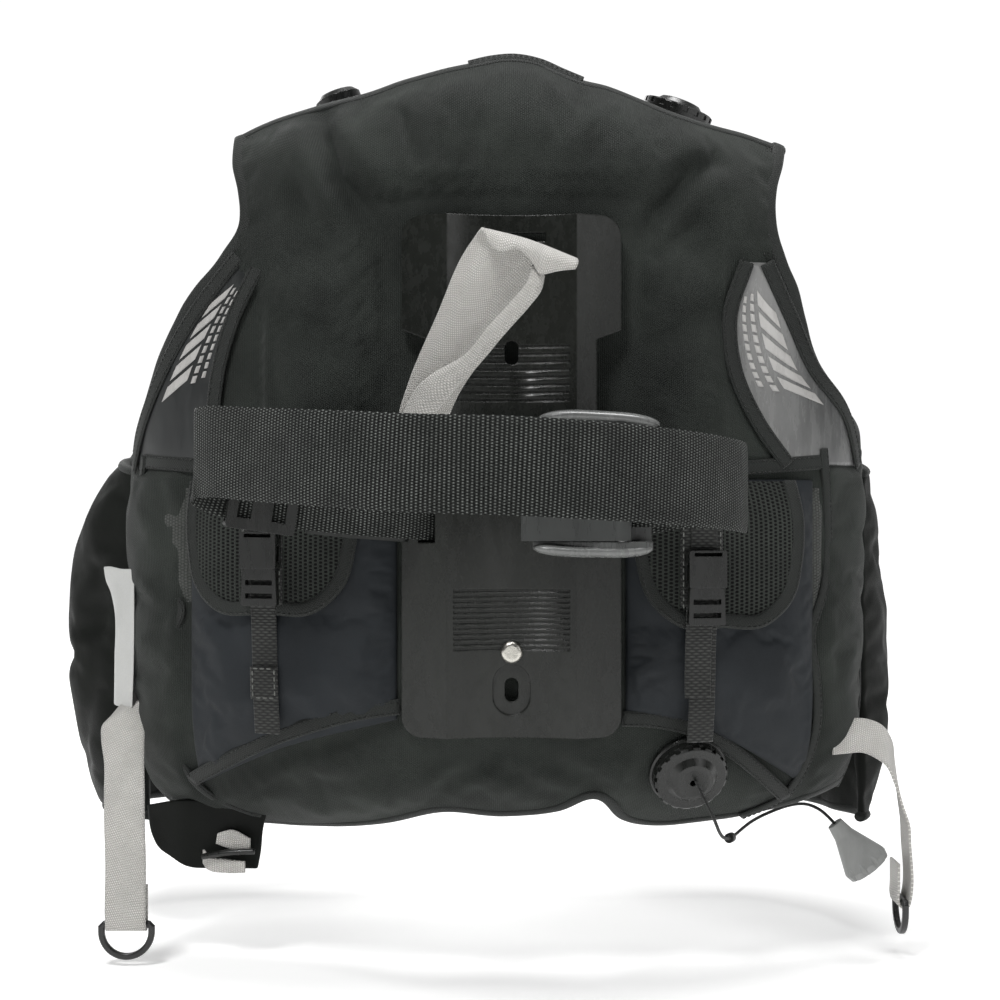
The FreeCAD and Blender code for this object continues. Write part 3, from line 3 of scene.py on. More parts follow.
import bmesh
import bpy
import numpy as np
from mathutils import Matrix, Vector


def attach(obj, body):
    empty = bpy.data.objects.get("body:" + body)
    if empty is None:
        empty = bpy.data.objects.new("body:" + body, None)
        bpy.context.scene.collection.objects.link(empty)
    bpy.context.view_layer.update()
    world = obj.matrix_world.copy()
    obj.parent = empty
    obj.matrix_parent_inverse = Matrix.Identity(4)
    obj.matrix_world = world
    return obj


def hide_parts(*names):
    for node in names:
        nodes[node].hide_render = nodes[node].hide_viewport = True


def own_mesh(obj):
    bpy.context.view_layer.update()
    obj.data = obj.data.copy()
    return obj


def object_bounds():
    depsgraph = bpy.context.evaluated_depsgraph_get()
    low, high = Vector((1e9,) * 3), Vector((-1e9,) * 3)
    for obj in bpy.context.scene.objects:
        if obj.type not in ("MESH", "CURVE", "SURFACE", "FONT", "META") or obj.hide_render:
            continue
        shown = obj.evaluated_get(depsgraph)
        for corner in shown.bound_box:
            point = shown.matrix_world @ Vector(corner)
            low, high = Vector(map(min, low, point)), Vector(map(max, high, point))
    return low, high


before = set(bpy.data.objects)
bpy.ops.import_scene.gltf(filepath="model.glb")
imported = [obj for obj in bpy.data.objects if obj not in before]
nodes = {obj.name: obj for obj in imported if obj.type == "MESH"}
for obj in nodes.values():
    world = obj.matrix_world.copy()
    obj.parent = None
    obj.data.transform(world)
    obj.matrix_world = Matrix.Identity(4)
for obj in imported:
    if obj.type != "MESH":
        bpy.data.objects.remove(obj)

# The looks of a buoyancy compensator vest, hanging as it is worn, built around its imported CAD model.
# Helpers work in millimetres; mesh_object() turns them into metres.
MM = 0.001
cad_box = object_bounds()
scene = bpy.context.scene


# ---------------------------------------------------------------- camera, light, floor

def make_camera():
    """A level camera that faces the vest's back."""
    data = bpy.data.cameras.new("camera")
    data.lens, data.sensor_width = 68.6, 36
    camera = bpy.data.objects.new("camera", data)
    camera.location = (-0.0068, -1.120, 0.0126)
    camera.rotation_euler = (math.pi / 2, 0, 0)
    scene.collection.objects.link(camera)
    scene.camera = camera


def area_light(name, place, target, size, power, colour=(1, 1, 1)):
    """A round lamp that faces a target."""
    data = bpy.data.lights.new(name, "AREA")
    data.shape, data.size, data.energy, data.color = "DISK", size, power, colour
    light = bpy.data.objects.new(name, data)
    light.location = place
    light.rotation_mode = "QUATERNION"
    light.rotation_quaternion = (Vector(target) - Vector(place)).to_track_quat("-Z", "Y")
    scene.collection.objects.link(light)


def make_world():
    """A white studio whose light is soft behind the object and low on the camera's side."""
    world = bpy.data.worlds.new("studio")
    world.use_nodes = True
    tree = world.node_tree
    place = tree.nodes.new("ShaderNodeTexCoord")
    split = tree.nodes.new("ShaderNodeSeparateXYZ")
    ramp = tree.nodes.new("ShaderNodeValToRGB")
    ramp.color_ramp.elements[0].position, ramp.color_ramp.elements[0].color = 0.35, (0.065, 0.065, 0.068, 1)
    ramp.color_ramp.elements[1].position, ramp.color_ramp.elements[1].color = 0.80, (0.50, 0.50, 0.50, 1)
    half = tree.nodes.new("ShaderNodeMath")
    half.operation = "MULTIPLY_ADD"
    half.inputs[1].default_value, half.inputs[2].default_value = 0.5, 0.5
    tree.links.new(place.outputs["Generated"], split.inputs[0])
    tree.links.new(split.outputs["Y"], half.inputs[0])
    tree.links.new(half.outputs[0], ramp.inputs["Fac"])
    backdrop, seen, path = (tree.nodes.new(kind) for kind in ("ShaderNodeBackground", "ShaderNodeMixShader",
                                                              "ShaderNodeLightPath"))
    backdrop.inputs["Color"].default_value = (1.06, 1.06, 1.06, 1)
    tree.links.new(ramp.outputs["Color"], tree.nodes["Background"].inputs["Color"])
    tree.links.new(path.outputs["Is Camera Ray"], seen.inputs[0])
    tree.links.new(tree.nodes["Background"].outputs[0], seen.inputs[1])
    tree.links.new(backdrop.outputs[0], seen.inputs[2])
    tree.links.new(seen.outputs[0], tree.nodes["World Output"].inputs["Surface"])
    scene.world = world


def make_stage():
    """The world's light, the lamps and the floor."""
    make_world()
    area_light("key", (-0.75, -1.35, 2.3), (0, 0, 0.05), 0.7, 50)
    area_light("fill", (1.8, -1.6, 0.7), (0, 0, 0), 1.2, 6)
    area_light("top", (0.2, 0.2, 2.2), (0, 0.05, 0), 1.0, 30)
    area_light("rim", (-0.9, 1.9, 1.2), (0, 0.1, 0), 1.0, 12)
    scene.view_settings.view_transform = "Standard"
    mesh = bpy.data.meshes.new("floor")
    shape = bmesh.new()
    bmesh.ops.create_circle(shape, cap_ends=True, segments=96, radius=9.0)
    shape.to_mesh(mesh)
    shape.free()
    floor = bpy.data.objects.new("floor", mesh)
    floor.location = (0, 0, cad_box[0].z - 0.004)
    scene.collection.objects.link(floor)
    pale = Finish("floor_paint", roughness=0.9, specular=0.1)
    grain = pale.noise(pale.place(), 3.0, 3)
    pale.colour(pale.between(grain, (0.83, 0.83, 0.825), (0.87, 0.87, 0.865), 0.35, 0.65))
    pale.shader.inputs["Emission Color"].default_value = (1, 1, 1, 1)
    far = pale.node("ShaderNodeVectorMath", operation="LENGTH")
    pale.tree.links.new(pale.node("ShaderNodeTexCoord").outputs["Object"], far.inputs[0])
    pale.feed(pale.shader.inputs["Emission Strength"], pale.spread(far.outputs["Value"], 0.42, 0.95, 0.5, 3.5))
    mesh.materials.append(pale.material)


# ---------------------------------------------------------------- procedural materials

class Finish:
    """A Principled material and short ways to wire its procedural detail."""

    def __init__(self, name, roughness=0.8, specular=0.3, metallic=0.0, sheen=0.0, coat=0.0):
        self.material = bpy.data.materials.new(name)
        self.material.use_nodes = True
        self.tree = self.material.node_tree
        self.shader = self.tree.nodes["Principled BSDF"]
        put = self.shader.inputs
        put["Roughness"].default_value = roughness
        put["Specular IOR Level"].default_value = specular
        put["Metallic"].default_value = metallic
        put["Sheen Weight"].default_value = sheen
        put["Sheen Roughness"].default_value = 0.4
        put["Coat Weight"].default_value = coat
        put["Coat Roughness"].default_value = 0.2
        self.parts = {}

    def node(self, kind, **settings):
        made = self.tree.nodes.new(kind)
        for key, value in settings.items():
            setattr(made, key, value)
        return made

    def feed(self, socket, value):
        if isinstance(value, bpy.types.NodeSocket):
            self.tree.links.new(value, socket)
        else:
            socket.default_value = value

    def math(self, operation, *values):
        made = self.node("ShaderNodeMath", operation=operation)
        for socket, value in zip(made.inputs, values):
            self.feed(socket, value)
        return made.outputs[0]

    def place(self):
        if "place" not in self.parts:
            self.parts["place"] = self.node("ShaderNodeTexCoord").outputs["Object"]
        return self.parts["place"]

    def plan(self):
        """The piece's own flat coordinates in metres, as (along, across)."""
        if "plan" not in self.parts:
            split = self.node("ShaderNodeSeparateXYZ")
            self.feed(split.inputs[0], self.node("ShaderNodeTexCoord").outputs["UV"])
            self.parts["plan"] = (split.outputs[0], split.outputs[1])
        return self.parts["plan"]

    def noise(self, vector, scale, detail=3, roughness=0.5, stretch=None):
        if stretch is not None:
            mapping = self.node("ShaderNodeMapping")
            self.feed(mapping.inputs["Vector"], vector)
            mapping.inputs["Scale"].default_value = stretch
            vector = mapping.outputs[0]
        made = self.node("ShaderNodeTexNoise")
        self.feed(made.inputs["Vector"], vector)
        made.inputs["Scale"].default_value = scale
        made.inputs["Detail"].default_value = detail
        made.inputs["Roughness"].default_value = roughness
        return made.outputs["Fac"]

    def beads(self, pitch, tall):
        """Rows of rounded bumps, pitch apart along and tall apart across, neighbouring rows staggered."""
        along, across = self.plan()
        row = self.math("DIVIDE", along, pitch)
        shift = self.math("MULTIPLY", self.math("MODULO", self.math("FLOOR", row), 2.0), 0.5)
        step = self.math("ADD", self.math("DIVIDE", across, tall), shift)
        wave = self.math("SINE", self.math("MULTIPLY", self.math("FRACT", row), math.pi))
        rise = self.math("SINE", self.math("MULTIPLY", self.math("FRACT", step), math.pi))
        return self.math("MULTIPLY", wave, rise)

    def spread(self, value, low, high, start=0.0, end=1.0):
        made = self.node("ShaderNodeMapRange")
        self.feed(made.inputs[0], value)
        for index, number in enumerate((start, end, low, high), start=1):
            made.inputs[index].default_value = number
        return made.outputs[0]

    def between(self, factor, dark, light, start=0.0, end=1.0):
        """A colour between two, as the factor goes from start to end."""
        made = self.node("ShaderNodeMix", data_type="RGBA")
        self.feed(made.inputs["Factor"], self.spread(factor, 0.0, 1.0, start, end))
        colours = [socket for socket in made.inputs if socket.type == "RGBA"]
        for socket, colour in zip(colours, (dark, light)):
            if isinstance(colour, bpy.types.NodeSocket):
                self.feed(socket, colour)
            else:
                socket.default_value = (*colour, 1)
        return next(socket for socket in made.outputs if socket.type == "RGBA")

    def colour(self, value):
        self.feed(self.shader.inputs["Base Color"], value)

    def rough(self, value):
        self.feed(self.shader.inputs["Roughness"], value)

    def bump(self, height, depth):
        """Adds relief of that many millimetres, on top of any relief before it."""
        made = self.node("ShaderNodeBump")
        made.inputs["Strength"].default_value = 1.0
        made.inputs["Distance"].default_value = depth * MM
        self.feed(made.inputs["Height"], height)
        if "bump" in self.parts:
            self.feed(made.inputs["Normal"], self.parts["bump"])
        self.parts["bump"] = made.outputs[0]
        self.feed(self.shader.inputs["Normal"], made.outputs[0])


def woven(name, dark, light, pitch=1.1, tall=0.9, relief=0.22, roughness=0.75, specular=0.2, sheen=0.25,
          blotch=0.35, crinkle=0.0, gloss=0.0):
    """Cloth with a plain weave on the piece's flat coordinates, uneven shade, and creases if asked."""
    cloth = Finish(name, roughness, specular, sheen=sheen)
    weave = cloth.beads(pitch * MM, tall * MM)
    fine = cloth.noise(cloth.place(), 900, 2)
    broad = cloth.noise(cloth.place(), 16, 4, 0.6)
    shade = cloth.math("ADD", cloth.math("MULTIPLY", weave, 0.55), cloth.math("MULTIPLY", fine, 0.45))
    shade = cloth.math("ADD", shade, cloth.spread(broad, -blotch, blotch, 0.3, 0.7))
    cloth.colour(cloth.between(shade, dark, light, 0.05, 0.95))
    cloth.rough(cloth.spread(broad, roughness - 0.08 - gloss, roughness + 0.08, 0.35, 0.65))
    if crinkle:
        cloth.bump(cloth.noise(cloth.place(), 34, 4, 0.55), crinkle)
    cloth.bump(weave, relief)
    return cloth.material


def webbing(name, dark, light, pitch, tall, relief, roughness=0.6, sheen=0.2, specular=0.35, power=1.6):
    """Narrow heavy webbing: columns of raised threads with a painted highlight on their tops, stronger in random
    patches, and fine random specks.
    """
    strap = Finish(name, roughness, specular, sheen=sheen)
    bead = strap.beads(pitch * MM, tall * MM)
    patchy = strap.noise(strap.place(), 55, 3, 0.6)
    speck = strap.noise(strap.place(), 1400, 2)
    # painted_glint is a painted highlight on each thread's top, its strength varied in random patches.
    painted_glint = strap.math("MULTIPLY", strap.math("POWER", bead, power), strap.spread(patchy, 0.55, 1.15, 0.3, 0.7))
    painted_glint = strap.math("ADD", strap.math("MULTIPLY", painted_glint, 0.85), strap.math("MULTIPLY", speck, 0.25))
    strap.colour(strap.between(painted_glint, dark, light, 0.1, 0.95))
    strap.bump(bead, relief)
    return strap.material


def plastic(name, dark, light, roughness=0.35, specular=0.5, wear=0.3, coat=0.0, grain=0.05, edge=0.6,
            drag=0.2):
    """Moulded plastic: softened edges, a fine moulded grain, faint flow marks, handling marks that dull it."""
    part = Finish(name, roughness, specular, coat=coat)
    soft = part.node("ShaderNodeBevel", samples=4)
    soft.inputs["Radius"].default_value = edge * MM
    part.parts["bump"] = soft.outputs[0]
    flow = part.noise(part.place(), 22, 4, 0.55, stretch=(1, 1, 0.35))
    scuff = part.noise(part.place(), 160, 5, 0.7, stretch=(1, 1, drag))
    part.colour(part.between(part.math("ADD", part.math("MULTIPLY", flow, 0.7),
                                       part.math("MULTIPLY", scuff, 0.3)),
                             dark, light, 0.3, 0.72))
    part.rough(part.spread(scuff, roughness - 0.05, roughness + wear, 0.42, 0.75))
    part.bump(part.noise(part.place(), 2600, 2), grain * 0.3)
    part.bump(flow, grain)
    return part.material


def metal(name, colour, dull, roughness=0.25):
    """Bare metal with fine scratches."""
    part = Finish(name, roughness, 0.5, metallic=1.0)
    scratch = part.noise(part.place(), 420, 4, 0.65, stretch=(1, 1, 5))
    part.colour(part.between(scratch, dull, colour, 0.35, 0.65))
    part.rough(part.spread(scratch, roughness, roughness + 0.22, 0.45, 0.75))
    part.bump(scratch, 0.03)
    return part.material


def mesh_cloth(name, dark, light, pitch=3.0, tall=2.2):
    """Open spacer mesh: staggered holes between raised threads, the holes painted near black as painted shade
    over the mesh's dark lower layer.
    """
    net = Finish(name, 0.78, 0.2, sheen=0.06)
    hole = net.beads(pitch * MM, tall * MM)
    broad = net.noise(net.place(), 30, 3)
    ring = net.spread(hole, 1.0, 0.0, 0.30, 0.62)
    # hole_shade_and_tone: painted shade in the holes, times a random broad tone.
    hole_shade_and_tone = net.math("MULTIPLY", ring, net.spread(broad, 0.7, 1.15, 0.3, 0.7))
    net.colour(net.between(hole_shade_and_tone, dark, light, 0.0, 1.0))
    net.bump(ring, 0.9)
    net.bump(net.noise(net.place(), 1300, 2), 0.08)
    return net.material


def make_finishes():
    """Every finish by name."""
    return {
        "shell": woven("shell_cordura", (0.0110, 0.0134, 0.0114), (0.034, 0.039, 0.0345), pitch=1.2, tall=1.0,
                       relief=0.3, roughness=0.72, sheen=0.08, blotch=0.5, crinkle=0.8),
        "binding": woven("binding_tape", (0.0085, 0.0100, 0.0088), (0.024, 0.027, 0.0245), pitch=0.9,
                         tall=2.0, roughness=0.66, specular=0.3, sheen=0.12, blotch=0.3),
        "gusset": woven("gusset_cordura", (0.012, 0.0135, 0.012), (0.075, 0.080, 0.073), pitch=2.2, tall=1.9,
                        relief=0.5, roughness=0.68, specular=0.3, sheen=0.2, blotch=0.2),
        "pocket": woven("pocket_taffeta", (0.0110, 0.0133, 0.0155), (0.0225, 0.0262, 0.0300), pitch=0.6,
                        tall=0.6, relief=0.08, roughness=0.62, specular=0.22, sheen=0.06, blotch=0.4,
                        crinkle=0.6, gloss=0.06),
        "lobe": woven("lobe_taffeta", (0.0015, 0.0022, 0.0015), (0.0075, 0.0090, 0.0072), pitch=0.6, tall=0.6,
                      relief=0.08, roughness=0.62, specular=0.16, sheen=0.02, blotch=0.4, crinkle=0.9,
                      gloss=0.08),
        "lining": woven("lining_oxford", (0.011, 0.012, 0.013), (0.026, 0.028, 0.030), pitch=0.9, relief=0.15,
                        roughness=0.72, specular=0.25, sheen=0.2, blotch=0.3, crinkle=0.4),
        "mesh": mesh_cloth("spacer_mesh", (0.0006, 0.0008, 0.0006), (0.034, 0.039, 0.034)),
        # The webbings' light colours are the painted highlight on their thread tops.
        "band": webbing("band_webbing", (0.0008, 0.0012, 0.0009), (0.200, 0.214, 0.200), pitch=2.35,
                        tall=1.55, relief=0.75, sheen=0.03, specular=0.15, power=3.6),
        "strap": webbing("strap_webbing", (0.0045, 0.005, 0.0045), (0.052, 0.054, 0.050), pitch=1.7, tall=5.2,
                         relief=0.35),
        "grey": webbing("grey_webbing", (0.42, 0.41, 0.385), (0.82, 0.80, 0.77), pitch=1.5, tall=1.2,
                        relief=0.38, roughness=0.7, sheen=0.3, specular=0.3),
        "thread": woven("seam_thread", (0.004, 0.005, 0.004), (0.017, 0.0185, 0.017), pitch=0.5, tall=0.5,
                        relief=0.1),
        "pale_thread": woven("pale_thread", (0.10, 0.105, 0.095), (0.30, 0.31, 0.29), pitch=0.5, tall=0.5,
                             relief=0.1),
        "plate": plastic("plate_plastic", (0.0060, 0.0070, 0.0056), (0.0165, 0.018, 0.0155), roughness=0.26,
                         specular=0.36, wear=0.16, coat=0.04, grain=0.06, edge=1.3, drag=0.55),
        # The cam buckle frame's black plastic is painted lighter here, a painted highlight.
        "frame": plastic("buckle_plastic_painted_highlight", (0.030, 0.032, 0.031), (0.085, 0.088, 0.085), roughness=0.28,
                         specular=0.55, wear=0.15, edge=1.4),
        # The rails' black plastic is painted lighter still, a painted highlight along them.
        "rail": plastic("rail_plastic_painted_highlight", (0.10, 0.103, 0.10), (0.20, 0.205, 0.20), roughness=0.26,
                        specular=0.6, wear=0.12),
        "trim": plastic("trim_plastic", (0.0045, 0.005, 0.0045), (0.014, 0.015, 0.0135), roughness=0.27,
                        wear=0.2),
        "lever": plastic("lever_plastic", (0.016, 0.018, 0.017), (0.045, 0.048, 0.046), roughness=0.32,
                         wear=0.2),
        "knob": plastic("knob_plastic", (0.20, 0.205, 0.20), (0.36, 0.365, 0.355), roughness=0.33, wear=0.2),
        "rubber": plastic("pad_rubber", (0.006, 0.007, 0.006), (0.018, 0.0195, 0.018), roughness=0.55,
                          specular=0.35, wear=0.2, grain=0.2),
        "nickel": metal("nickel", (0.72, 0.70, 0.64), (0.42, 0.41, 0.37)),
        "steel": metal("spring_steel", (0.62, 0.62, 0.62), (0.4, 0.4, 0.4)),
        "ring": plastic("ring_coating", (0.006, 0.006, 0.006), (0.02, 0.02, 0.02), roughness=0.3,
                        specular=0.6, wear=0.25),
        "vinyl_left": plastic("patch_vinyl_left", (0.012, 0.0135, 0.0135), (0.030, 0.032, 0.032),
                              roughness=0.36, wear=0.15, grain=0.12),
        # The right patch is the same vinyl as the left, painted much lighter as a painted reflection.
        "vinyl_right": plastic("patch_vinyl_right_painted_reflection", (0.060, 0.062, 0.062), (0.22, 0.22, 0.215),
                               roughness=0.26, specular=0.6, wear=0.15, grain=0.12),
        "print": plastic("patch_silver", (0.32, 0.312, 0.30), (0.52, 0.51, 0.495), roughness=0.30, wear=0.2),
        "label": woven("label_satin", (0.42, 0.425, 0.41), (0.58, 0.585, 0.57), pitch=0.7, tall=0.5,
                       relief=0.05, roughness=0.45, specular=0.4, sheen=0.2, blotch=0.2, crinkle=0.5),
        "cord": webbing("braided_cord", (0.004, 0.0045, 0.004), (0.03, 0.032, 0.03), pitch=1.2, tall=0.9,
                        relief=0.15),
    }


# ---------------------------------------------------------------- mesh building

def unit(vectors):
    """The same directions at length one."""
    return vectors / np.maximum(np.linalg.norm(vectors, axis=-1, keepdims=True), 1e-9)


def lattice(count_a, count_b, closed=False, offset=0):
    """Quads over a grid of points, with each corner's place in the grid."""
    steps = count_b if closed else count_b - 1
    a = np.repeat(np.arange(count_a - 1), steps)
    b = np.tile(np.arange(steps), count_a - 1)
    corner_a = np.stack([a, a + 1, a + 1, a], 1)
    corner_b = np.stack([b, b, b + 1, b + 1], 1)
    return corner_a * count_b + corner_b % count_b + offset, corner_a, corner_b


def mesh_object(name, points, faces, plan, finish, slot=None, replaces=(), outward=False):
    """A smooth mesh piece that rides on the vest. plan holds flat coordinates in mm for each face corner."""
    mesh = bpy.data.meshes.new(name)
    mesh.from_pydata((np.asarray(points, float).reshape(-1, 3) * MM).tolist(), [],
                     [list(map(int, f)) for f in faces])
    layer = mesh.uv_layers.new(name="plan")
    if plan is not None:
        layer.data.foreach_set("uv", (np.asarray(plan, float).reshape(-1, 2) * MM).ravel())
    mesh.polygons.foreach_set("use_smooth", [True] * len(mesh.polygons))
    if outward:
        shape = bmesh.new()
        shape.from_mesh(mesh)
        bmesh.ops.recalc_face_normals(shape, faces=shape.faces)
        shape.to_mesh(mesh)
        shape.free()
    piece = bpy.data.objects.new(name, mesh)
    scene.collection.objects.link(piece)
    mesh.materials.append(finishes[finish])
    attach(piece, "vest")
    if replaces:
        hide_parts(*replaces)
    return piece


def lengths(points):
    """Distance along a line of points."""
    return np.concatenate([[0], np.cumsum(np.linalg.norm(np.diff(points, axis=0), axis=1))])


def smooth(points, count=None, step=None):
    """Evenly spaced points on a smooth curve through the given ones."""
    points = np.asarray(points, float)
    t = lengths(points)
    slope = (np.gradient(points, t, axis=0) if len(points) > 2
             else np.repeat((points[1:] - points[:1]) / t[-1], 2, 0))
    fine = np.linspace(0, t[-1], max(40 * len(points), 200))
    i = np.clip(np.searchsorted(t, fine, side="right") - 1, 0, len(t) - 2)
    gap = (t[i + 1] - t[i])[:, None]
    x = (fine - t[i])[:, None] / gap
    line = ((2 * x**3 - 3 * x**2 + 1) * points[i] + (x**3 - 2 * x**2 + x) * gap * slope[i]
            + (3 * x**2 - 2 * x**3) * points[i + 1] + (x**3 - x**2) * gap * slope[i + 1])
    along = lengths(line)
    if count is None:
        count = max(int(round(along[-1] / step)) + 1, 4)
    even = np.linspace(0, along[-1], count)
    return np.stack([np.interp(even, along, line[:, k]) for k in range(line.shape[1])], 1)


def tangents(line):
    """The direction along a line at each of its points."""
    return unit(np.gradient(line, axis=0))


def oval_profile(half_width, half_height, count):
    """A rounded section for a rail, a binding or a bar."""
    turn = np.linspace(0, math.tau, count, endpoint=False)
    return np.stack([np.cos(turn) * half_width, np.sin(turn) * half_height], 1)


def flat_profile(width, thickness, columns=9, power=8):
    """Cross-section of a strap as (across, out), anticlockwise, with its edges rounded."""
    reach = -np.cos(np.linspace(0, math.pi, columns)) * (width / 2)
    rise = thickness / 2 * np.maximum(1 - np.abs(reach / (width / 2)) ** power, 0) ** 0.5
    rise = np.maximum(rise, thickness * 0.12)
    top = np.stack([reach, rise], 1)
    low = np.stack([reach[::-1], -rise[::-1]], 1)
    return np.concatenate([top, low])


def sweep(name, line, outs, profile, across=None, **about):
    """A closed cross-section carried along a line; outs is the direction the profile's second axis takes."""
    ahead = tangents(line)
    if across is None:
        across = unit(np.cross(ahead, outs))
    outs = unit(np.cross(across, ahead))
    if profile.ndim == 2:
        profile = np.repeat(profile[None], len(line), 0)
    points = line[:, None] + across[:, None] * profile[..., :1] + outs[:, None] * profile[..., 1:]
    count = profile.shape[1]
    faces, a, b = lattice(len(line), count, True)
    far = lengths(line)
    around = lengths(np.concatenate([profile[0], profile[0][:1]]))
    plan = np.stack([far[a], around[b]], -1)
    ends = [list(range(count))[::-1], list(range((len(line) - 1) * count, len(line) * count))]
    plan = np.concatenate([plan.reshape(-1, 2), np.zeros((count * 2, 2))])
    return mesh_object(name, points, [*faces.tolist(), *ends], plan, outward=True, **about)


def strap(name, route, across, width, thickness, step=2.0, count=None, **about):
    """Flat webbing along a route, its width along one direction."""
    line = smooth(route, count, step)
    side = np.repeat(unit(np.asarray(across, float))[None], len(line), 0)
    ahead = tangents(line)
    side = unit(side - ahead * (side * ahead).sum(1, keepdims=True))
    return sweep(name, line, None, flat_profile(width, thickness), side, **about)


def slab(name, front, rear, plan, **about):
    """A closed piece between two grids of points (a, b, 3); plan holds (a, b, 2) in mm."""
    rows, columns = front.shape[:2]
    faces, _, _ = lattice(rows, columns)
    rear_faces = faces[:, ::-1] + rows * columns
    rim = ([i * columns for i in range(rows)] + [(rows - 1) * columns + j for j in range(1, columns)]
           + [i * columns + columns - 1 for i in range(rows - 2, -1, -1)]
           + [j for j in range(columns - 2, 0, -1)])
    rim = np.array(rim)
    after = np.roll(rim, -1)
    walls = np.stack([rim, rim + rows * columns, after + rows * columns, after], 1)
    flat = plan.reshape(-1, 2)
    both = np.concatenate([flat, flat])
    every = np.concatenate([faces, rear_faces, walls])
    points = np.concatenate([front.reshape(-1, 3), rear.reshape(-1, 3)])
    return mesh_object(name, points, every, both[every], outward=True, **about)


def webbing_sheet(name, rows, columns, count, thickness, **about):
    """A sheet of cloth through rows of points, each row running across it; evenly smooth between the rows."""
    across = np.stack([smooth(row, columns) for row in rows])
    grid = np.stack([smooth(across[:, k], count) for k in range(columns)], 1)
    out = unit(np.cross(np.gradient(grid, axis=0), np.gradient(grid, axis=1))) * thickness / 2
    along = lengths(grid[:, columns // 2])[:, None] + np.zeros(columns)
    wide = np.concatenate([np.zeros((count, 1)),
                           np.cumsum(np.linalg.norm(np.diff(grid, axis=1), axis=2), axis=1)], 1)
    return slab(name, grid + out, grid - out, np.stack([along, wide], -1), **about)


def stitches(name, runs, finish, pitch=3.4, length=2.3, radius=0.33):
    """Sewn thread: a short rounded stitch every few millimetres along each run of (points, outs)."""
    rings = [(-0.5, 0.25), (-0.42, 0.75), (-0.2, 1.0), (0.2, 1.0), (0.42, 0.75), (0.5, 0.25)]
    shape = []
    for share, full in rings:
        for k in range(6):
            turn = math.tau * k / 6
            shape.append((share * length, math.cos(turn) * radius * full, math.sin(turn) * radius * full * 0.8))
    shape = np.array(shape)
    quads = [[i * 6 + k, i * 6 + (k + 1) % 6, (i + 1) * 6 + (k + 1) % 6, (i + 1) * 6 + k] for i in range(5)
             for k in range(6)]
    points, faces = [], []
    for line, outs in runs:
        far = lengths(line)
        if far[-1] < pitch:
            continue
        even = np.arange(pitch / 2, far[-1], pitch)
        place = np.stack([np.interp(even, far, line[:, k]) for k in range(3)], 1)
        ahead = tangents(line)
        way = unit(np.stack([np.interp(even, far, ahead[:, k]) for k in range(3)], 1))
        out = unit(np.stack([np.interp(even, far, outs[:, k]) for k in range(3)], 1))
        side = unit(np.cross(way, out))
        for here, x, y, z in zip(place, way, side, out):
            base = len(points) * len(shape)
            points.append(here + shape[:, :1] * x + shape[:, 1:2] * y + shape[:, 2:] * z)
            faces.extend([[q + base for q in quad] for quad in quads])
    return mesh_object(name, np.concatenate(points), faces, None, finish)


def value_noise(x, y, seed):
    """Smooth noise in -1..1 at scale 1, the same every time for the same place and seed."""
    def corner(i, j):
        mixed = np.sin(i * 127.1 + j * 311.7 + seed * 74.7) * 43758.5453
        return (mixed - np.floor(mixed)) * 2 - 1

    i, j = np.floor(x), np.floor(y)
    u, v = x - i, y - j
    u, v = u * u * (3 - 2 * u), v * v * (3 - 2 * v)
    low = corner(i, j) * (1 - u) + corner(i + 1, j) * u
    high = corner(i, j + 1) * (1 - u) + corner(i + 1, j + 1) * u
    return low * (1 - v) + high * v


def crumple(x, y, size, seed):
    """Layered noise for cloth that doesn't lie flat; size is its largest feature in mm."""
    total, share = 0, 1.0
    for octave in range(3):
        total = total + share * value_noise(x / size + 3.1 * octave, y / size - 1.7 * octave, seed + octave)
        size, share = size * 0.5, share * 0.5
    return total


def ease(step):
    """0 to 1, flat at both ends."""
    step = np.clip(step, 0, 1)
    return step * step * (3 - 2 * step)


def crease(x, y, path, width):
    """1 on a line of places, falling away to 0 over a width."""
    best = np.full(np.shape(x), 1e9)
    for (x1, y1), (x2, y2) in zip(path, path[1:]):
        dx, dy = x2 - x1, y2 - y1
        t = np.clip(((x - x1) * dx + (y - y1) * dy) / (dx * dx + dy * dy), 0, 1)
        best = np.minimum(best, np.hypot(x - x1 - t * dx, y - y1 - t * dy))
    return np.exp(-(best / width) ** 2)


def simulate(piece, held, pressure, frames, cap, grow, bending, stiffness=15.0):
    """Blender's cloth on a piece with held vertices; no vertex may move further than cap mm."""
    mesh = piece.data
    start = np.array([v.co for v in mesh.vertices])
    group = piece.vertex_groups.new(name="held")
    group.add([int(i) for i in np.nonzero(held)[0]], 1.0, "REPLACE")
    cloth = piece.modifiers.new("cloth", "CLOTH")
    rule = cloth.settings
    rule.quality, rule.mass = 5, 0.3
    rule.tension_stiffness = rule.compression_stiffness = stiffness
    rule.shear_stiffness, rule.bending_stiffness = 5, bending
    rule.use_pressure, rule.uniform_pressure_force = True, pressure
    rule.effector_weights.gravity = 0
    rule.vertex_group_mass = "held"
    rule.shrink_min = -grow
    cloth.collision_settings.use_collision = False
    cloth.point_cache.frame_start, cloth.point_cache.frame_end = 1, frames
    for step in range(1, frames + 1):
        scene.frame_set(step)
    shown = piece.evaluated_get(bpy.context.evaluated_depsgraph_get())
    moved = np.array([v.co for v in shown.data.vertices])
    piece.modifiers.remove(cloth)
    piece.vertex_groups.remove(group)
    scene.frame_set(1)
    shift = moved - start
    far = np.linalg.norm(shift, axis=1, keepdims=True)
    shift *= np.tanh(far / (cap * MM)) * (cap * MM) / np.maximum(far, 1e-9)
    mesh.vertices.foreach_set("co", (start + shift).ravel())
    mesh.update()


def held_edges(u, v, margin):
    """Which corners of a slab the cloth keeps still: its rear, and a margin round its front."""
    held = np.ones((2, *u.shape), bool)
    held[0] = (u < margin) | (u > 1 - margin) | (v < margin) | (v > 1 - margin)
    return held


def refine(piece):
    """One subdivision, left as a modifier."""
    smoother = piece.modifiers.new("refine", "SUBSURF")
    smoother.levels = smoother.render_levels = 1


# ---------------------------------------------------------------- the vest's back as a surface

